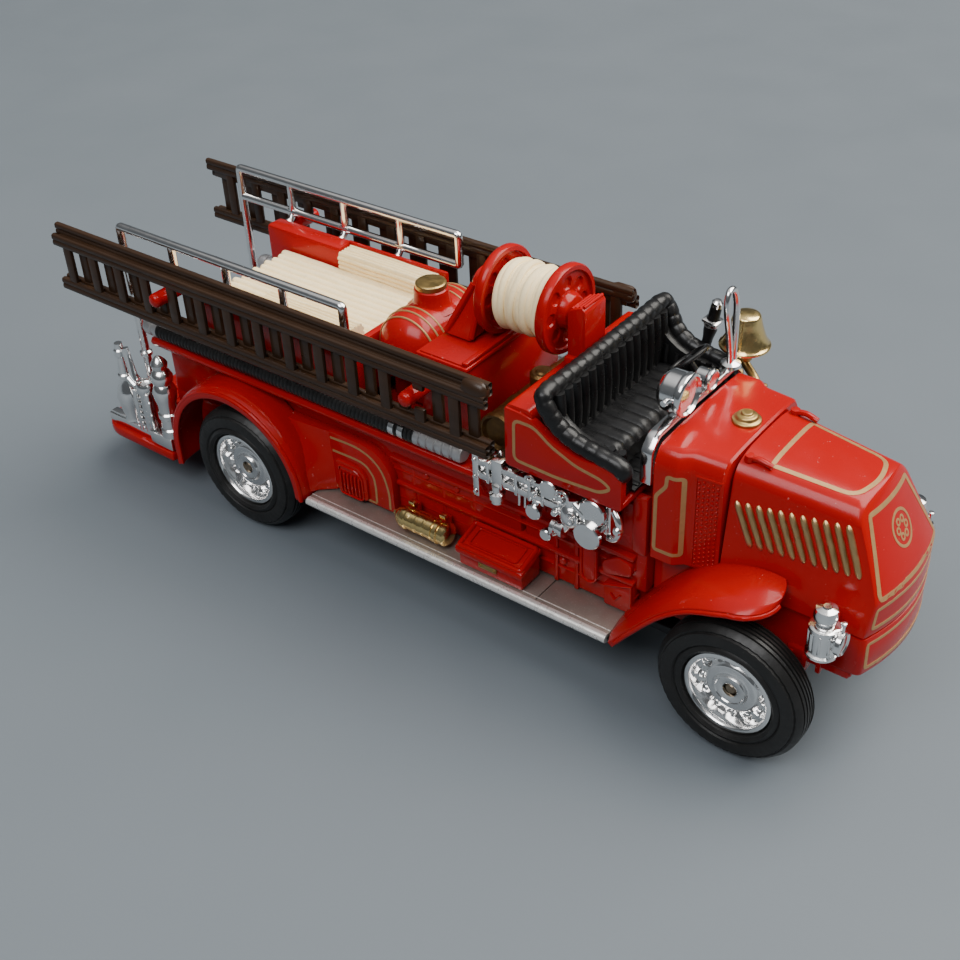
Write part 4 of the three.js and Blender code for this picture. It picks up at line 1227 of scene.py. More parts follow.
# ---- Cab -------------------------------------------------------------------------------------------
SWEEP = [(43, 33.5), (45.3, 33.3), (47, 32.5), (48.8, 31.4), (51.7, 30.6), (54, 30.6), (56.2, 30.9)]
CAB_REAR_X, CAB_FRONT_X = 42.4, 58.9
PANEL_LINE = [(43.8, 32.3), (46.4, 32.3), (48.6, 30.7), (51.7, 29.4), (55.0, 28.9), (56.2, 28.2),
              (54.8, 27.2), (49.2, 26.9), (43.7, 27.1)]


def cab_panel_outline():
    nose = arc(56.3, 29.7, 1.2, 80, 0, 6)
    return [(42.5, 33.5), *curve_through(SWEEP, 4), *nose, (57.5, 25.6), (CAB_REAR_X, 25.9)]


def cab():
    high = span("cab_body")[1]
    side = Shape()
    side.prism("side", fillet(cab_panel_outline(), 0.5, 2), -high.y, -high.y + 1.0, 0.28)
    surface = side.surface()
    side.box((CAB_REAR_X, CAB_FRONT_X), (-8.9, 0), (12.7, 24.4), 0.35)
    side.box((CAB_REAR_X, 57), (-8.85, -7.9), (9.2, 13.4), 0.2)
    side.box((44, CAB_FRONT_X), (-6, 0), (24.2, 26.2), 0.2)
    side.box((43, 57.6), (-12, 0), (26, 26.7), 0.15)
    side.prism("side", fillet([(CAB_REAR_X, 26), (46.1, 26), (46.1, 33.9), (CAB_REAR_X, 33.9)], 1.0, 4),
               -12, 0, 0.2)
    side.box((57.0, CAB_FRONT_X), (-9.3, -8.2), (18.2, 26), 0.3)
    piece("cab_shell", side.both(), RED, replaces=["cab_body"])
    lining = Shape()
    line = fillet(PANEL_LINE, 0.8, 4)
    side_stripe(lining, surface, looped(line), 0.38)
    pair("cab_lining", lining, LINING)


def seat():
    """Fluted back and cushion, arm rests, floor ribs and the beaded top rail."""
    base = span("bench_seat")[0].z
    shape = Shape()
    flutes = 15

    def back_face(u, v):
        y = lerp(-11, 11, u)
        share = (u * flutes) % 1
        bulge = math.sin(math.pi * share) ** 0.7
        z = lerp(29.5, 36.3, v)
        tuft = 0.28 * math.exp(-((v - 0.62) / 0.1) ** 2) * (1 - bulge)
        return 48.45 + 0.5 * bulge - tuft + 0.25 * math.sin(math.pi * v), y, z

    shape.sheet(flutes * 8, 12, back_face, lambda u, v: (46.4, lerp(-11, 11, u), lerp(29.5, 36.3, v)))
    shape.box((46.4, 48.9), (-11, 11), (base, 30.5), 0.3)

    def cushion_top(u, v):
        y = lerp(-9.9, 9.9, u)
        x = lerp(48.2, 54.6, v)
        share = (u * 11) % 1
        bulge = math.sin(math.pi * share) ** 0.7
        edge = 0.7 * (1 - smoothstep(0, 0.12, 1 - v))
        return x, y, 29.75 + 0.35 * bulge - edge + 0.2 * math.sin(math.pi * v)

    shape.sheet(11 * 8, 14, cushion_top, lambda u, v: (lerp(48.2, 54.3, v), lerp(-9.9, 9.9, u), base))
    arm = [(48, base), (48, 35.6), (49.2, 33.4), (51, 32.2), (53.5, 31.6), (56.4, 31.2), (57.3, 29.6),
           (57.4, base)]
    side = Shape().prism("side", fillet(arm, 0.8, 3), -11.1, -9.9, 0.4)
    for i in range(6):
        x = 49.4 + 1.35 * i
        side.tube([(x, -9.95, 30), (x, -9.8, 30.8), (x, -10.1, 31.6 + 0.8 * (i < 1))], 0.42, 8)
    shape.take(side.both().bm)
    floor_top = base + 0.25
    for i in range(9):
        y = -8.8 + 2.2 * i
        shape.box((54.4, 57.5), (y - 0.35, y + 0.35), (base - 0.1, floor_top + 0.15), 0.1)
    shape.box((54.2, 57.6), (-9.9, 9.9), (base - 0.05, floor_top), 0.05)
    ropes = [(57.5, -11.6, 29.4), (57.0, -11.7, 30.9), (54.6, -11.75, 31.5), (51.6, -11.8, 32.1),
             (49.5, -12.0, 33.4),
             (48.3, -12.3, 35.2), (47.7, -12.2, 36.3), (47.5, -11.2, 36.7), (47.5, -6, 36.6)]
    path = ropes + [(47.5, 0, 36.6)] + [(x, -y, z) for x, y, z in reversed(ropes)]
    rope = evenly(curve_through(path, 8), 0.16)
    lumps = 37

    def swell(share):
        end = min(share, 1 - share)
        crease = 0.13 * smoothstep(0.04, 0.07, end) * (1 - abs(math.sin(math.pi * share * lumps)) ** 0.5)
        return (1.02 - crease) * math.sqrt(lerp(0.15, 1, min(1, end / 0.015)))

    shape.tube(rope, swell, 14)
    return shape


STEERING = (54.6, 5.6, 34.4)


def steering_wheel():
    """A four-spoked wheel on its column, leaning back."""
    x, y, z = STEERING
    shape = Shape()
    rim = [(a, b, z) for a, b in around(x, y, 2.45, 48)]
    shape.tube(rim, 0.3, 12, closed=True)
    for k in range(4):
        angle = TAU * (k + 0.5) / 4
        shape.tube([(x, y, z - 0.2), (x + 2.4 * math.cos(angle), y + 2.4 * math.sin(angle), z)], 0.2, 8)
    shape.turned("z", shifted(z, [(0, -0.5), (0.6, -0.5), (0.6, 0.05), (0.35, 0.25), (0, 0.25)]), x,
                 y, 20)
    shape.rod("z", 0.38, (z - 4.4, z), x, y, 16)
    return shape.turn(STEERING, "Y", -43)


def cab_group():
    cab()
    piece("seat_upholstery", seat(), BLACK, replaces=["bench_seat"])
    piece("steering_ring", steering_wheel(), BLACK, replaces=["steering_wheel"])


# ---- Dash fittings ---------------------------------------------------------------------------------
PILOT_LAMP = (1.9, 35.4)


def dash_trim():
    low = span("dash_trim")[0]
    half = low.y * -1 - 0.2
    path = [(-half, low.z), (-half, 32.3), (-half + 1.3, 33.7), (0, 33.85)]
    line = path + [(-y, z) for y, z in reversed(path[:-1])]
    line = fillet(line, 0.5, 3, closed=False)
    front = span("cowl")[0].x
    shape = Shape()
    rings = []
    for i, (y, z) in enumerate(line):
        before, after = Vector(line[max(0, i - 1)]), Vector(line[min(len(line) - 1, i + 1)])
        along = (after - before).normalized()
        out = Vector((-along.y, along.x)) * 0.28
        rings.append([(58.0, y + out.x, z + out.y), (front, y + out.x, z + out.y),
                      (front, y - out.x, z - out.y), (58.0, y - out.x, z - out.y)])
    shape.loft(rings, 0.16)
    bead = [(front - 0.25, y, z + 0.26) for y, z in line[5:-5]]
    shape.tube(bead, 0.26, 10)
    y, z = PILOT_LAMP
    lamp = fillet([(0.8, 57.8), (1.1, 58.0), (1.1, 59.3), (1.22, 59.4), (1.22, 59.8), (1.0, 59.9)], 0.1,
                  2, False)
    shape.turned("x", [(0, 57.75), *lamp, (0.9, 59.75), (0, 59.85)], y, z, 32)
    shape.turned("z", [(0, 33.9), (0.8, 33.9), (0.7, 34.3), (0.4, 34.5), (0.4, z), (0, z)], 58.8, y, 16)
    return shape


def searchlight():
    """A drum lamp on a swivel."""
    low, high = span("searchlight")
    y, z = (low.y + high.y) / 2, high.z - (high.y - low.y) / 2
    shape = Shape()
    rim = fillet([(0.9, low.x - 0.05), (1.9, low.x + 0.15), (2.3, low.x + 0.7), (2.3, high.x - 0.9),
                  (2.42, high.x - 0.7),
                  (2.42, high.x - 0.15), (2.1, high.x)], 0.15, 2, False)
    shape.turned("x", [(0, low.x - 0.1), *rim, (1.95, high.x - 0.3), (1.3, high.x - 0.2),
                       (0, high.x - 0.05)], y, z, 48)
    shape.turned("z", [(0, 34.1), (0.9, 34.1), (0.6, 34.5), (0.5, z - 2), (0, z - 2)], 58.8, y, 20)
    shape.rod("y", 0.35, (y - 2.9, y + 2.9), 58.8, z, 12)
    return shape


def grab_loop():
    """A leaf-shaped hoop: both legs start together, swell apart and meet at the top."""
    low, high = span("grab_loop")
    y = 7.3
    spread = [(59.0, 0.36, low.z), (58.95, 0.45, 36), (58.8, 0.75, 38.5), (58.6, 1.05, 40.8),
              (58.45, 0.95, 42.2),
              (58.35, 0.6, high.z - 0.65)]
    near = [(x, y - gap, z) for x, gap, z in spread]
    far = [(x, y + gap, z) for x, gap, z in reversed(spread)]
    path = curve_through([*near, (58.3, y, high.z - 0.4), *far], 6)
    shape = Shape().tube(evenly(path, 0.3), 0.38, 12)
    shape.turned("z", shifted(low.z, [(0, 0), (1.2, 0), (1.1, 0.35), (0.6, 0.7), (0, 0.7)]), 58.9, y, 24)
    return shape


def bell():
    low, high = span("bell")
    x, y, _ = halfway(low, high)
    radius = (high.x - low.x) / 2
    tall = high.z - low.z
    outside = [(0.30, 1.0), (0.47, 0.94), (0.56, 0.82), (0.63, 0.62), (0.71, 0.44), (0.80, 0.27),
               (0.91, 0.12), (1.0, 0.05), (1.0, 0.0)]
    inside = [(0.94, 0.0), (0.86, 0.10), (0.62, 0.35), (0.52, 0.62), (0.3, 0.72)]
    curve = [(radius * r, low.z + tall * h) for r, h in outside]
    curve = curve_through([(0.0, high.z), (0.3, high.z)] + curve[1:], 4)
    profile = [(0, high.z), *curve[5:], *[(radius * r, low.z + tall * h) for r, h in inside],
               (0, low.z + tall * 0.74)]
    return Shape().turned("z", profile, x, y, 48)


def bell_bracket():
    high = span("bell_bracket")[1]
    x, y, _ = halfway(*span("bell"))
    shape = Shape()
    shape.tube([(61.4, 9.8, 30.4), (60.2, 10.8, 31.2), (x + 0.2, y, 32.2), (x, y, 34.2), (x, y, high.z)],
               0.5, 12, steps=6)
    shape.turned("z", [(0, 32.6), (0.95, 32.6), (1.0, 33.2), (0.7, 33.8), (0, 33.8)], x, y, 20)
    shape.box((60.6, 62.2), (9.6, 10.3), (28.6, 31.4), 0.2)
    return shape


def horn():
    x, y, foot = 52.4, 12.9, 30
    body = Shape()
    outline = fillet([(0.5, foot), (0.62, 33.2), (0.8, 34.2), (0.8, 35.6), (0.7, 36), (0.66, 37.6),
                      (0.5, 38.1)], 0.25, 3, False)
    body.turned("z", [(0, foot), *outline, (0, 38.2)], x, y, 24)
    body.tube([(x, 12.4, 29.4), (x, y, 29.8), (x, y, 31)], 0.5, 10, steps=4)
    ring = Shape()
    ring.box((x - 1.0, x + 1.0), (y - 1.0, y + 1.0), (35.3, 35.75), 0.3)
    ring.turned("z", [(0, 34.9), (0.95, 34.9), (1.0, 35.1), (0.95, 35.3), (0, 35.3)], x, y, 24)
    ring.turned("z", [(0, 37.5), (0.74, 37.5), (0.66, 38.05), (0.4, 38.3), (0, 38.35)], x, y, 24)
    lean = ((x, y, foot), "Y", 11)
    return body.turn(*lean), ring.turn(*lean)


def dash_group():
    piece("dash_strip", dash_trim(), CHROME, replaces=["dash_trim"])
    piece("searchlight_drum", searchlight(), CHROME, replaces=["searchlight"])
    piece("loop_rail", grab_loop(), CHROME, replaces=["grab_loop"])
    piece("bell_cup", bell(), BRASS, replaces=["bell"])
    piece("bell_post", bell_bracket(), OLD_GOLD, replaces=["bell_bracket"])
    body, ring = horn()
    piece("horn_body", body, BLACK, replaces=["hand_horn"])
    piece("horn_rings", ring, CHROME)
    lid = [(0.88, 0), (0.88, 0.5), (0.68, 0.6), (0.62, 1.0), (0.36, 1.05), (0.33, 1.3), (0, 1.3)]
    piece("radiator_lid", cap("radiator_cap", lid), OLD_GOLD, replaces=["radiator_cap"])


# ---- Ladders, rails and hoses ----------------------------------------------------------------------
RAIL_Y = halfway(*span("hand_rail_right"))[1]
LADDER_OUTER_Y, LADDER_INNER_Y = span("ladder_right")[0].y, span("ladder_right")[1].y


def ladder_rail(shape, x, y, z, half_y, half_z):
    """A rail of two rounded ribs with a groove between, and rounded ends."""
    (rear, front), bar = x, half_z / 2 + 0.04
    for rib in (-half_z / 2, half_z / 2):
        rings = []
        for k in range(7):
            inset, swell = half_z * (1 - math.sin(math.pi / 2 * k / 6)), math.sin(math.pi / 2 * (k + 1) / 7)
            rings.append((rear + inset, swell))
        rings += [(front - (place - rear), swell) for place, swell in reversed(rings)]
        skins = []
        for place, swell in rings:
            ring = []
            for m in range(16):
                angle = TAU * m / 16
                cy = math.copysign(abs(math.cos(angle)) ** 0.7, math.cos(angle))
                cz = math.copysign(abs(math.sin(angle)) ** 0.7, math.sin(angle))
                ring.append((place, y + half_y * swell * cy, z + rib + bar * swell * cz))
            skins.append(ring)
        shape.loft(skins)
    return shape


def ladder(side):
    """Two thin sections face to face: rails with pairs of flat rungs."""
    low, high = span(f"ladder_{side}")
    layer = (LADDER_INNER_Y - LADDER_OUTER_Y) / 4
    outer, inner = LADDER_OUTER_Y + layer, LADDER_INNER_Y - layer
    shape = Shape()
    for z in (low.z + 0.75, high.z - 2.1):
        ladder_rail(shape, (low.x, high.x), outer, z, layer, 0.8)
    for z in (low.z + 0.95, high.z - 0.85):
        ladder_rail(shape, (low.x, high.x), inner, z, layer, 0.8)
    shape.box((low.x + 1, high.x - 1), (outer, inner), (high.z - 2.6, high.z - 1.2), 0.1)
    middle = (LADDER_OUTER_Y + LADDER_INNER_Y) / 2
    knob = [(high.x - 3.4, 0.3), (high.x - 3.1, 0.8), (high.x - 2.5, 1), (high.x - 0.7, 1),
            (high.x - 0.25, 0.8), (high.x, 0.4)]
    shape.loft([[(place, middle + 0.84 * swell * math.cos(TAU * k / 20),
                  high.z - 1.1 + 1.1 * swell * math.sin(TAU * k / 20))
                 for k in range(20)] for place, swell in knob])
    x = low.x + 1.6
    while x < high.x - 2:
        for y, foot, top, start in ((outer, low.z + 1, low.z + 7, x),
                                    (inner, low.z + 1.2, high.z - 1, x + 2)):
            blocked = any(start - 1.15 < peg < start + 2.65 for peg in (REAR_PEG_X, FRONT_PEG_X))
            spans = [(foot, PEG_Z - 1.2), (PEG_Z + 1.2, top)] if blocked else [(foot, top)]
            for z0, z1 in spans:
                shape.box((start, start + 1.5), (y - layer * 0.75, y + layer * 0.75), (z0, z1), 0.22)
        x += 5
    return shape


def hand_rail():
    """A rail on posts with brackets to the body."""
    low, high = span("hand_rail_right")
    bar = 0.57
    rear, front = low.x + 0.45, high.x - 0.45
    top, bottom = high.z - 0.45, 33.4
    shape = Shape()
    corner = 0.45
    loop = fillet([(rear, low.z), (rear, top), (front, top), (front, bottom), (rear + 0.2, bottom)],
                  corner, 6, closed=False)
    shape.tube([(x, RAIL_Y, z) for x, z in loop], bar, 12)
    for i in range(1, 4):
        x = lerp(rear, front, i / 4)
        shape.tube([(x, RAIL_Y, bottom), (x, RAIL_Y, top)], bar * 0.9, 10)
        shape.box((x - 0.75, x + 0.75), (RAIL_Y - 0.5, RAIL_Y + 0.5), (bottom - 0.5, bottom + 0.5), 0.2)
        shape.tube([(x, RAIL_Y, bottom), (x, -10.2, bottom - 0.9), (x, -9.2, bottom - 1.0)], 0.45, 10)
    for z in (low.z + 0.01, 18.5):
        shape.turned("z", shifted(z, [(0, 0), (0.85, 0), (0.85, 0.5), (0.6, 0.7), (0, 0.7)]), rear,
                     RAIL_Y, 20)
    return shape


def suction_hose():
    """A ribbed hose with its end fittings and clasps."""
    low, high = span("suction_hose_right")
    _, y, z = halfway(low, high)
    radius = (high.z - low.z) / 2
    rubber = Shape()
    profile = []
    x = -15.6
    while x < 28.6:
        profile += [(radius - 0.26, x), (radius - 0.03, x + 0.16), (radius - 0.03, x + 0.42)]
        x += 0.62
    rubber.turned("x", [(0, -15.6), *profile, (radius - 0.26, x), (0, x)], y, z, 28)
    rubber.rod("x", 0.75, (28.4, 33), y, z, 20)
    metal = Shape()
    coupling = [(0.95, 28.3), (0.95, 28.6)]
    for k in range(5):
        start = 28.7 + 1.15 * k
        coupling += [(1.19, start), (1.19, start + 0.75), (0.98, start + 0.85), (0.98, start + 1.05)]
    coupling += [(1.19, 34.6), (1.19, 35.3), (0.95, high.x)]
    metal.turned("x", [(0, 28.3), *coupling, (0, high.x)], y, z, 28)
    tail = [(0.9, -15.3), (1.17, -15.5), (1.17, -16.1), (1.0, -16.2), (1.0, -16.6), (1.17, -16.7),
            (1.17, -17.6), (0.9, low.x)]
    metal.turned("x", [(0, -15.3), *tail, (0, low.x)], y, z, 28)
    clasp = Shape()
    for x in (24.9, 26.3):
        band = shifted(x, [(0, 0), (1.17, 0), (1.19, 0.15), (1.19, 0.65), (1.17, 0.8), (0, 0.8)])
        clasp.turned("x", band, y, z, 28)
    return rubber, metal, clasp


# ---- Pump ------------------------------------------------------------------------------------------
def disc_cap(shape, x, z, face, radius, neck):
    """A capped outlet: a neck from the body and a flat round cover facing outwards."""
    back = -9.6
    cover = [(neck, 0.95), (radius - 0.25, 0.8), (radius, 0.6), (radius, 0.12), (radius - 0.12, 0), (0, 0)]
    return shape.turned("y", [(0, back), (neck, back), *shifted(face, cover)], x, z, 40)


def hand_wheel(shape, x, y, z, radius):
    """A three-spoked valve wheel."""
    rim = [(a, y, b) for a, b in around(x, z, radius, 24)]
    shape.tube(rim, 0.17, 8, closed=True)
    for k in range(3):
        angle = TAU * k / 3 + 0.5
        shape.tube([(x, y, z), (x + radius * math.cos(angle), y, z + radius * math.sin(angle))], 0.13, 6)
    shape.rod("y", 0.28, (y - 0.35, y + 1.2), x, z, 12)
    return shape


def pump():
    """The pump panel: bars, capped outlets, valves and pipes."""
    shape = Shape()
    bar_y = (-12.0, -10.6)
    for z in (24.35, 22.55):
        shape.box((37.9, 51.6), bar_y, (z - 0.45, z + 0.45), 0.16)
    shape.box((38, 51), (-11.2, -10.4), (22.2, 24.7), 0.1)
    for x in (39.5, 43.4, 45.2, 47.0, 49.4):
        shape.box((x, x + 0.45), (-12.15, -10.5), (21.95, 24.95), 0.12)
    shape.box((37.6, 38.5), (-12.2, -9.3), (19.6, 25.55), 0.22)
    for z in (20.4, 22.5, 24.8):
        shape.turned("y", [(0, -12.45), (0.22, -12.45), (0.3, -12.2), (0.3, -12), (0, -12)], 38.05, z, 12)
    shape.box((40.4, 41.9), (-12.35, -9.3), (21.9, 25.75), 0.25)
    shape.box((40.0, 42.3), (-11.2, -9.3), (25.0, 25.6), 0.15)
    for x in (40.6, 41.7):
        shape.turned("z", [(0, 25.6), (0.32, 25.6), (0.32, 26.0), (0.2, 26.1), (0, 26.1)], x, -10.6, 12)
    knob = [(0, 19.6), (0.45, 19.6), (0.75, 20.0), (0.75, 20.5), (0.95, 20.6), (0.95, 21.3), (0.6, 21.5),
            (0.6, 22.3), (0, 22.3)]
    shape.turned("z", knob, 41.0, -12.05, 24)
    disc_cap(shape, 53.9, 24.1, -12.6, 1.65, 1.1)
    disc_cap(shape, 53.6, 21.2, -13.1, 1.68, 1.1)
    disc_cap(shape, 48.2, 24.75, -12.45, 1.2, 0.6)
    disc_cap(shape, 46.1, 20.85, -12.5, 1.0, 0.6)
    disc_cap(shape, 48.1, 18.85, -13.0, 0.75, 0.55)
    body = [(0, 20.6), (0.7, 20.7), (1.3, 21.4), (1.5, 22.3), (1.3, 23.2), (0.9, 23.6), (0.9, 24.0),
            (1.2, 24.2), (1.2, 24.8), (0, 25.0)]
    shape.turned("z", body, 50.9, -11.6, 28)
    shape.tube([(50.6, -11.4, 21.4), (49.9, -11.7, 20.0), (48.6, -12.0, 19.1)], 0.6, 12, steps=5)
    shape.turned("x", [(0, 48.6), (0.95, 48.6), (0.95, 49.1), (0.75, 49.2), (0.75, 49.7), (0.95, 49.8),
                       (0.95, 50.2), (0, 50.2)], -12.0, 19.9, 20)
    shape.tube([(46.1, -11.5, 22.3), (46.1, -11.6, 21.3)], 0.55, 12)
    for x in (43.9, 44.7):
        shape.tube([(x, -11.7, 22.4), (x, -11.8, 20.6)], 0.18, 8)
    hand_wheel(shape, 50.4, -12.95, 25.1, 0.75)
    hand_wheel(shape, 51.6, -12.9, 22.6, 0.65)
    hand_wheel(shape, 45.9, -12.5, 25.2, 0.6)
    for x, z in ((46.2, 23.5), (49.0, 22.0), (51.9, 24.0), (52.4, 23.0)):
        shape.turned("y", [(0, -12.6), (0.3, -12.6), (0.45, -12.35), (0.45, -11.6), (0, -11.6)], x, z, 14)
    shape.tube([(51.4, -12.2, 24.4), (52.6, -12.3, 23.6), (53.0, -12.2, 22.4)], 0.45, 12, steps=4)
    hook = [(56.2, -11.6, 24.9), (56.9, -11.9, 24.2), (57.2, -12.0, 23.2), (57.0, -12.0, 22.1),
            (56.3, -11.8, 21.3), (55.6, -11.6, 21.1)]
    shape.tube(hook, 0.42, 12, steps=4)
    shape.turned("y", [(0, -12.7), (0.35, -12.7), (0.5, -12.5), (0.5, -11.9), (0, -11.9)], 57.1, 23.1, 16)
    shape.box((55.2, 55.8), (-11.6, -9.3), (20.7, 25.3), 0.2)
    shape.box((51.0, 55.8), (-10.8, -9.2), (20.4, 25.3), 0.3)
    return shape


# ---- Boxes, extinguishers, lamps and the rear set ----------------------------------------------------
def toolbox():
    """A box with a sloping lid, and its lock plate."""
    low, high = span("toolbox_right")
    drop = (high.z - 12.3) / (high.y - low.y)

    def lid_z(y):
        return high.z - drop * (high.y - y)

    shape = Shape()
    front = low.y + 0.55
    shape.prism("front", [(front, low.z), (high.y, low.z), (high.y, lid_z(high.y) - 0.7),
                          (front, lid_z(front) - 0.7)],
                low.x + 0.35, high.x - 0.35, 0.2)
    lip = low.y + 0.1
    shape.prism("front", [(lip, lid_z(lip) - 1.3), (high.y, lid_z(high.y) - 1.1),
                          (high.y, lid_z(high.y) - 0.3), (lip, lid_z(lip) - 0.3)],
                low.x, high.x, 0.3)
    edge = [(low.x + 0.45, low.y + 0.5), (high.x - 0.45, low.y + 0.5), (high.x - 0.45, high.y - 0.4),
            (low.x + 0.45, high.y - 0.4)]
    shape.tube([(x, y, lid_z(y) - 0.3) for x, y in fillet(edge, 0.3, 3)], 0.34, 10, closed=True)
    inner = [(low.x + 1.5, low.y + 1.15), (high.x - 1.5, low.y + 1.15), (high.x - 1.5, high.y - 0.9),
             (low.x + 1.5, high.y - 0.9)]
    shape.tube([(x, y, lid_z(y) - 0.2) for x, y in fillet(inner, 0.3, 3)], 0.12, 8, closed=True)
    plate = Shape()
    plate.box((38.8, 41.4), (low.y + 0.2, low.y + 0.6), (10.3, 11.0), 0.1)
    for x in (39.1, 41.1):
        plate.turned("y", shifted(low.y, [(0, 0.05), (0.16, 0.05), (0.2, 0.2), (0.2, 0.3), (0, 0.3)]), x,
                     10.65, 12)
    return shape, plate


def extinguisher():
    """A lying flask and its clamps."""
    low, high = span("extinguisher_right")
    _, y, z = halfway(low, high)
    start = low.x
    profile = shifted(start, [(0, 0), (0.35, 0), (0.4, 0.35), (0.8, 0.55), (1.25, 1.1), (1.3, 1.4),
                             (1.45, 1.5), (1.55, 1.7), (1.55, 2.3), (1.4, 2.45), (1.4, 2.7)])
    for k in range(3):
        rib = start + 3.0 + 1.25 * k
        profile += [(1.36, rib), (1.45, rib + 0.1), (1.45, rib + 0.85), (1.36, rib + 0.95)]
    tail = high.x
    profile += shifted(tail, [(1.4, -2.2), (1.55, -2.05), (1.58, -1.5), (1.4, -1.4), (1.45, -1.1),
                             (1.5, -0.5), (1.2, -0.15), (0.6, 0), (0, 0)])
    brass = Shape().turned("x", profile, y, z, 40)
    clamps = Shape()
    for x in (26.4, 31.2):
        clamps.box((x - 0.3, x + 0.8), (y + 1.3, y + 1.9), (9.3, z + 1.5), 0.15)
    for x in (26.5, 31.3):
        brass.box((x - 0.15, x + 0.75), (y + 0.35, y + 1.1), (z + 1.65, z + 2.2), 0.15)
    return brass, clamps


def headlamp():
    """A standing lantern with a round lens in front."""
    low, high = span("headlamp_right")
    x, y = 80.4, -10.7
    base = low.z
    shape = Shape()
    profile = shifted(base, [(0, 0), (1.1, 0), (1.5, 0.25), (1.65, 0.4), (1.65, 0.7), (1.42, 0.85),
                             (1.42, 3.55), (1.6, 3.65), (1.6, 4.1), (1.45, 4.2), (0.98, 4.22),
                             (0.94, 4.95), (1.22, 5.0), (1.28, 5.15), (1.28, 5.6)])
    profile += shifted(high.z, [(1.1, -0.35), (0.5, -0.15), (0.4, 0), (0, 0)])
    shape.turned("z", profile, x, y, 40)
    lens = shifted(x, [(0, 0), (0.85, 0), (0.85, 1.4), (1.2, 1.5), (1.35, 1.7)])
    lens += shifted(high.x, [(1.35, -0.15), (1.2, 0), (1.0, -0.15), (0, -0.05)])
    shape.turned("x", lens, y, base + 2.6, 32)
    shape.turned("z", shifted(base, [(0, 3.6), (0.2, 3.6), (0.2, 4.9), (0.3, 5.0), (0.3, 5.3), (0, 5.4)]),
                 x + 1.9, y, 12)
    shape.tube([(x, y, base + 3.3), (x, -9.2, base + 3.4), (x - 0.1, high.y, base + 3.4)], 0.5, 12)
    for k in range(4):
        angle = math.radians(200 + 40 * k)
        shape.box((x + 1.4 * math.cos(angle) - 0.14, x + 1.4 * math.cos(angle) + 0.14),
                  (y + 1.4 * math.sin(angle) - 0.14, y + 1.4 * math.sin(angle) + 0.14),
                  (base + 1.2, base + 3.4), 0.05)
    return shape


def rear_set():
    """Nozzle, rack and bottle standing on one plated base."""
    low, high = span("rear_fittings_right")
    y, base, top = -13.1, low.z, high.z
    shape = Shape()
    shape.box((low.x, high.x - 0.4), (y - 0.75, y + 0.8), (base, base + 1.3), 0.25)
    shape.box((low.x + 0.4, -20.6), (y - 0.55, y + 0.6), (base + 1.2, base + 1.7), 0.2)
    shape.box((-18.0, -13.6), (low.y + 0.05, y + 0.9), (base, base + 2.0), 0.22)
    nozzle = shifted(base, [(0, 1), (1.3, 1.6), (1.1, 2.2), (1.45, 3.6), (1.7, 5.4), (1.5, 6.6),
                            (1.0, 7.6), (0.8, 8.4), (0.95, 8.6), (0.95, 9.0), (0.75, 9.2)])
    nozzle += shifted(top, [(0.55, -2.2), (0.8, -1.9), (0.8, -1.0), (0.62, -0.8), (0.55, 0), (0, 0)])
    shape.turned("z", nozzle, -22.6, y, 32)
    shape.tube([(-21.4, y, top - 0.4), (-20.6, y, base + 9.4), (-20.0, y, base + 8.8)], 0.55, 10, flat=0.8)
    shape.tube([(-22.1, y, base + 8.6), (-21.0, y, base + 7.9), (-19.8, y, base + 7.4)], 0.5, 10, steps=4)
    for x in (-20.2, -17.8):
        shape.box((x - 0.4, x + 0.4), (y - 0.95, y - 0.25), (base + 1, base + 7.6), 0.18)
    for k in range(7):
        shape.box((-20.3, -17.6), (y - 0.85, y - 0.4), (base + 1.7 + 0.9 * k, base + 2.1 + 0.9 * k), 0.14)
    bucket = shifted(base, [(0, 1), (1.05, 1), (1.05, 7.0), (1.3, 7.6), (1.35, 8.4), (1.1, 8.8),
                           (1.1, 8.4), (0, 8.0)])
    shape.turned("z", bucket, -18.8, y + 0.15, 28)
    bottle = shifted(base, [(0, 1.9), (1.35, 1.9), (1.35, 3.0), (1.15, 3.2), (1.15, 4.6), (1.35, 4.8),
                            (1.35, 5.4), (1.15, 5.6), (1.2, 6.8), (1.4, 7.6), (1.5, 8.6), (1.25, 9.4),
                            (1.0, 9.7), (1.3, 10.1), (1.4, 10.8), (1.1, 11.5), (0.75, 11.8),
                            (0.95, 12.1), (1.05, 12.7), (0.8, 13.2)])
    bottle += shifted(top, [(0.4, -0.2), (0, 0)])
    shape.turned("z", [(1.1 * r, base + 1.05 * (z - base)) for r, z in bottle], -14.5, y, 36)
    return shape


def fittings():
    for side, body in (("right", "right_ladder"), ("left", "left_ladder")):
        made = ladder(side)
        piece(f"ladder_frame_{side}", made.mirror() if side == "left" else made, BROWN, body,
              [f"ladder_{side}"])
    pair("side_rail", hand_rail(), CHROME, nodes=["hand_rail"])
    rubber, metal, clasp = suction_hose()
    pair("suction_rubber", rubber, HOSE_BLACK, nodes=["suction_hose"])
    pair("suction_coupling", metal, COUPLING)
    pair("suction_clasp", clasp, CHROME)
    pair("pump_set", pump(), CHROME, nodes=["pump"])
    box, plate = toolbox()
    pair("toolbox_lid", box, RED, nodes=["toolbox"])
    pair("toolbox_plate", plate, OLD_GOLD)
    brass, clamps = extinguisher()
    pair("extinguisher_flask", brass, BRASS, nodes=["extinguisher"])
    pair("extinguisher_clamps", clamps, RED)
    pair("headlamp_lantern", headlamp(), CHROME, nodes=["headlamp"])
    pair("rear_set", rear_set(), CHROME, nodes=["rear_fittings"])


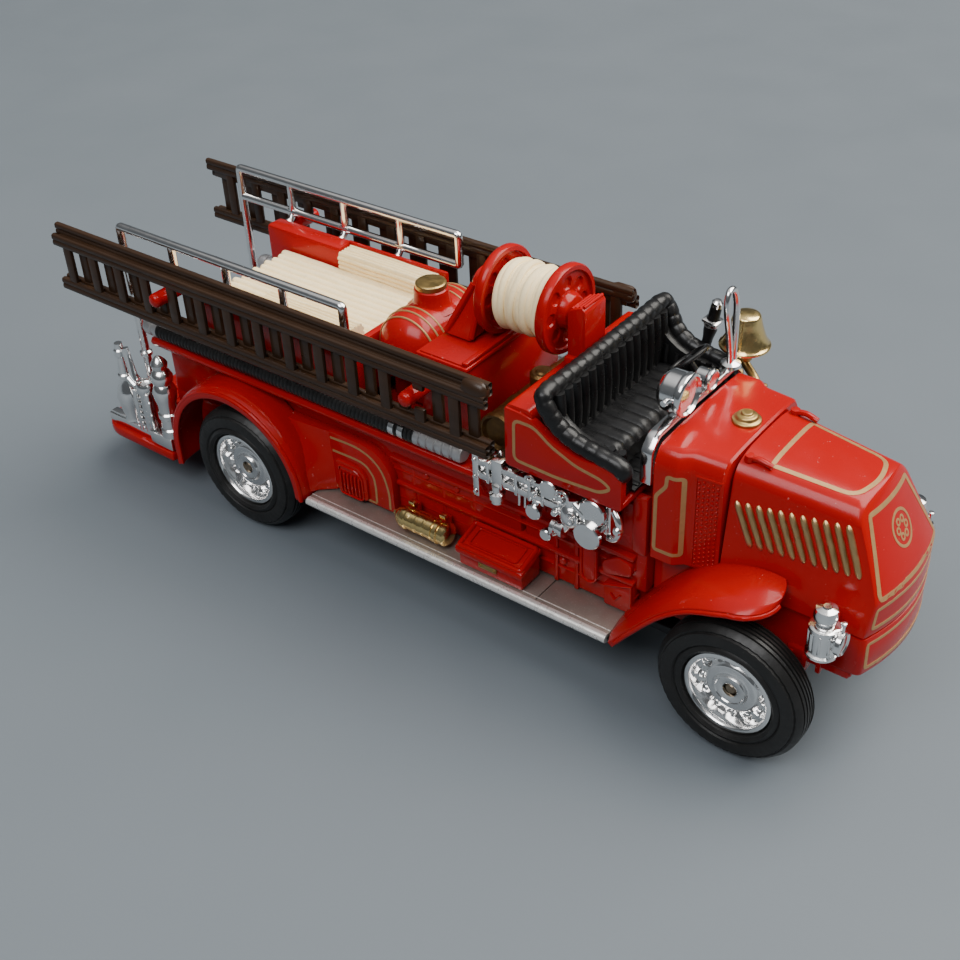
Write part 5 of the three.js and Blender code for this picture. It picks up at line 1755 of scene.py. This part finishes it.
# ---- Nodes that keep their own shape -----------------------------------------------------------------
WELD_DISTANCE = 1e-6
FLAT_ANGLE = math.radians(1.5)
EDGE_ANGLE = math.radians(30)
KEPT_SMOOTH_ANGLE = math.radians(60)


def keep(node, look, bevel=0.25):
    """Keeps a CAD node, with rounded edges and its own material."""
    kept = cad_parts[node]
    kept.data.materials.clear()
    kept.data.materials.append(look[0])
    weld = kept.modifiers.new("weld", "WELD")
    weld.merge_threshold = WELD_DISTANCE
    flatten = kept.modifiers.new("flatten", "DECIMATE")
    flatten.decimate_type = "DISSOLVE"
    flatten.angle_limit = FLAT_ANGLE
    rounded = kept.modifiers.new("round", "BEVEL")
    rounded.width = bevel * MM
    rounded.segments = 2
    rounded.limit_method = "ANGLE"
    rounded.angle_limit = EDGE_ANGLE
    rounded.use_clamp_overlap = True
    rounded.harden_normals = False
    kept.data.polygons.foreach_set("use_smooth", [True] * len(kept.data.polygons))
    kept.data.set_sharp_from_angle(angle=KEPT_SMOOTH_ANGLE)


# ---- Stage ---------------------------------------------------------------------------------------------
# The camera stands ahead and to the right, in millimetres of the shared frame; the floor and the
# lights are in metres.
CAMERA_PLACE = (89.75, -109.3, 114.0)
CAMERA_AZIMUTH = math.radians(38.95)
CAMERA_ELEVATION = math.radians(36.34)
CAMERA_ROLL = math.radians(-2.87)
CAMERA_LENS = 51.44
SENSOR_WIDTH = 36
CLIP = (0.005, 20)
FLOOR_RADIUS = 2.5
FLOOR_SIDES = 96


def camera():
    a, e = CAMERA_AZIMUTH, CAMERA_ELEVATION
    back = Vector((math.sin(a) * math.cos(e), -math.cos(a) * math.cos(e), math.sin(e)))
    right = Vector((math.cos(a), math.sin(a), 0))
    up = back.cross(right)
    c, s = math.cos(CAMERA_ROLL), math.sin(CAMERA_ROLL)
    rows = Matrix((right * c + up * s, up * c - right * s, back))
    data = bpy.data.cameras.new("camera")
    data.lens = CAMERA_LENS
    data.sensor_width = SENSOR_WIDTH
    data.clip_start, data.clip_end = CLIP
    made = bpy.data.objects.new("camera", data)
    made.matrix_world = Matrix.Translation(Vector(CAMERA_PLACE) * MM) @ rows.transposed().to_4x4()
    bpy.context.scene.collection.objects.link(made)
    bpy.context.scene.camera = made


def floor():
    mesh = bpy.data.meshes.new("floor")
    points = [(x, y, 0) for x, y in around(0, 0, FLOOR_RADIUS, FLOOR_SIDES)]
    mesh.from_pydata(points, [], [tuple(range(FLOOR_SIDES))])
    look = Look("floor_grey", Specular_IOR_Level=0.3)
    look.colour((60, 3), (0.120, 0.140, 0.158), (0.129, 0.149, 0.168))
    look.rough((20, 3), 0.45, 0.6)
    look.bump((0.6, 3), 0.02, 0.3)
    mesh.materials.append(look.material)
    made = bpy.data.objects.new("floor", mesh)
    bpy.context.scene.collection.objects.link(made)


def area_light(name, place, aim, size, power, colour=(1, 1, 1)):
    data = bpy.data.lights.new(name, "AREA")
    data.shape = "RECTANGLE"
    data.size, data.size_y = size
    data.energy = power
    data.color = colour
    made = bpy.data.objects.new(name, data)
    made.location = place
    made.rotation_euler = (Vector(aim) - Vector(place)).to_track_quat("-Z", "Y").to_euler()
    bpy.context.scene.collection.objects.link(made)


LIT_PLACE = (0, 0, 0.02)
ROOM_STRENGTH = 0.75
# Shades of the room from below the floor to overhead: dark walls under a pale ceiling.
ROOM_SHADES = [(0.0, (0.10, 0.10, 0.11)), (0.5, (0.10, 0.11, 0.12)), (0.8, (0.16, 0.17, 0.18)),
               (0.93, (1.0, 1.0, 1.0)), (1.0, (1.2, 1.2, 1.2))]


def lights():
    area_light("window", (0.5, 0.5, 0.95), LIT_PLACE, (1.1, 1.1), 31, (1.0, 0.965, 0.90))
    area_light("fill", (0.08, -0.7, 0.95), LIT_PLACE, (0.8, 0.6), 9.5, (0.98, 0.985, 1.0))
    world = bpy.data.worlds.new("room")
    bpy.context.scene.world = world
    world.use_nodes = True
    nodes, links = world.node_tree.nodes, world.node_tree.links
    where = nodes.new("ShaderNodeTexCoord")
    split = nodes.new("ShaderNodeSeparateXYZ")
    shade = nodes.new("ShaderNodeValToRGB")
    shade.color_ramp.elements[0].color = (*ROOM_SHADES[0][1], 1)
    shade.color_ramp.elements[1].color = (*ROOM_SHADES[-1][1], 1)
    for position, colour in ROOM_SHADES[1:-1]:
        shade.color_ramp.elements.new(position).color = (*colour, 1)
    lift = nodes.new("ShaderNodeMapRange")
    lift.inputs["From Min"].default_value = -1
    links.new(where.outputs["Generated"], split.inputs[0])
    links.new(split.outputs["Z"], lift.inputs["Value"])
    links.new(lift.outputs["Result"], shade.inputs["Fac"])
    links.new(shade.outputs["Color"], nodes["Background"].inputs["Color"])
    nodes["Background"].inputs["Strength"].default_value = ROOM_STRENGTH


camera()
floor()
lights()
running_gear()
bonnet()
chassis()
rear_body()
cowl()
apron()
cab_group()
dash_group()
fittings()
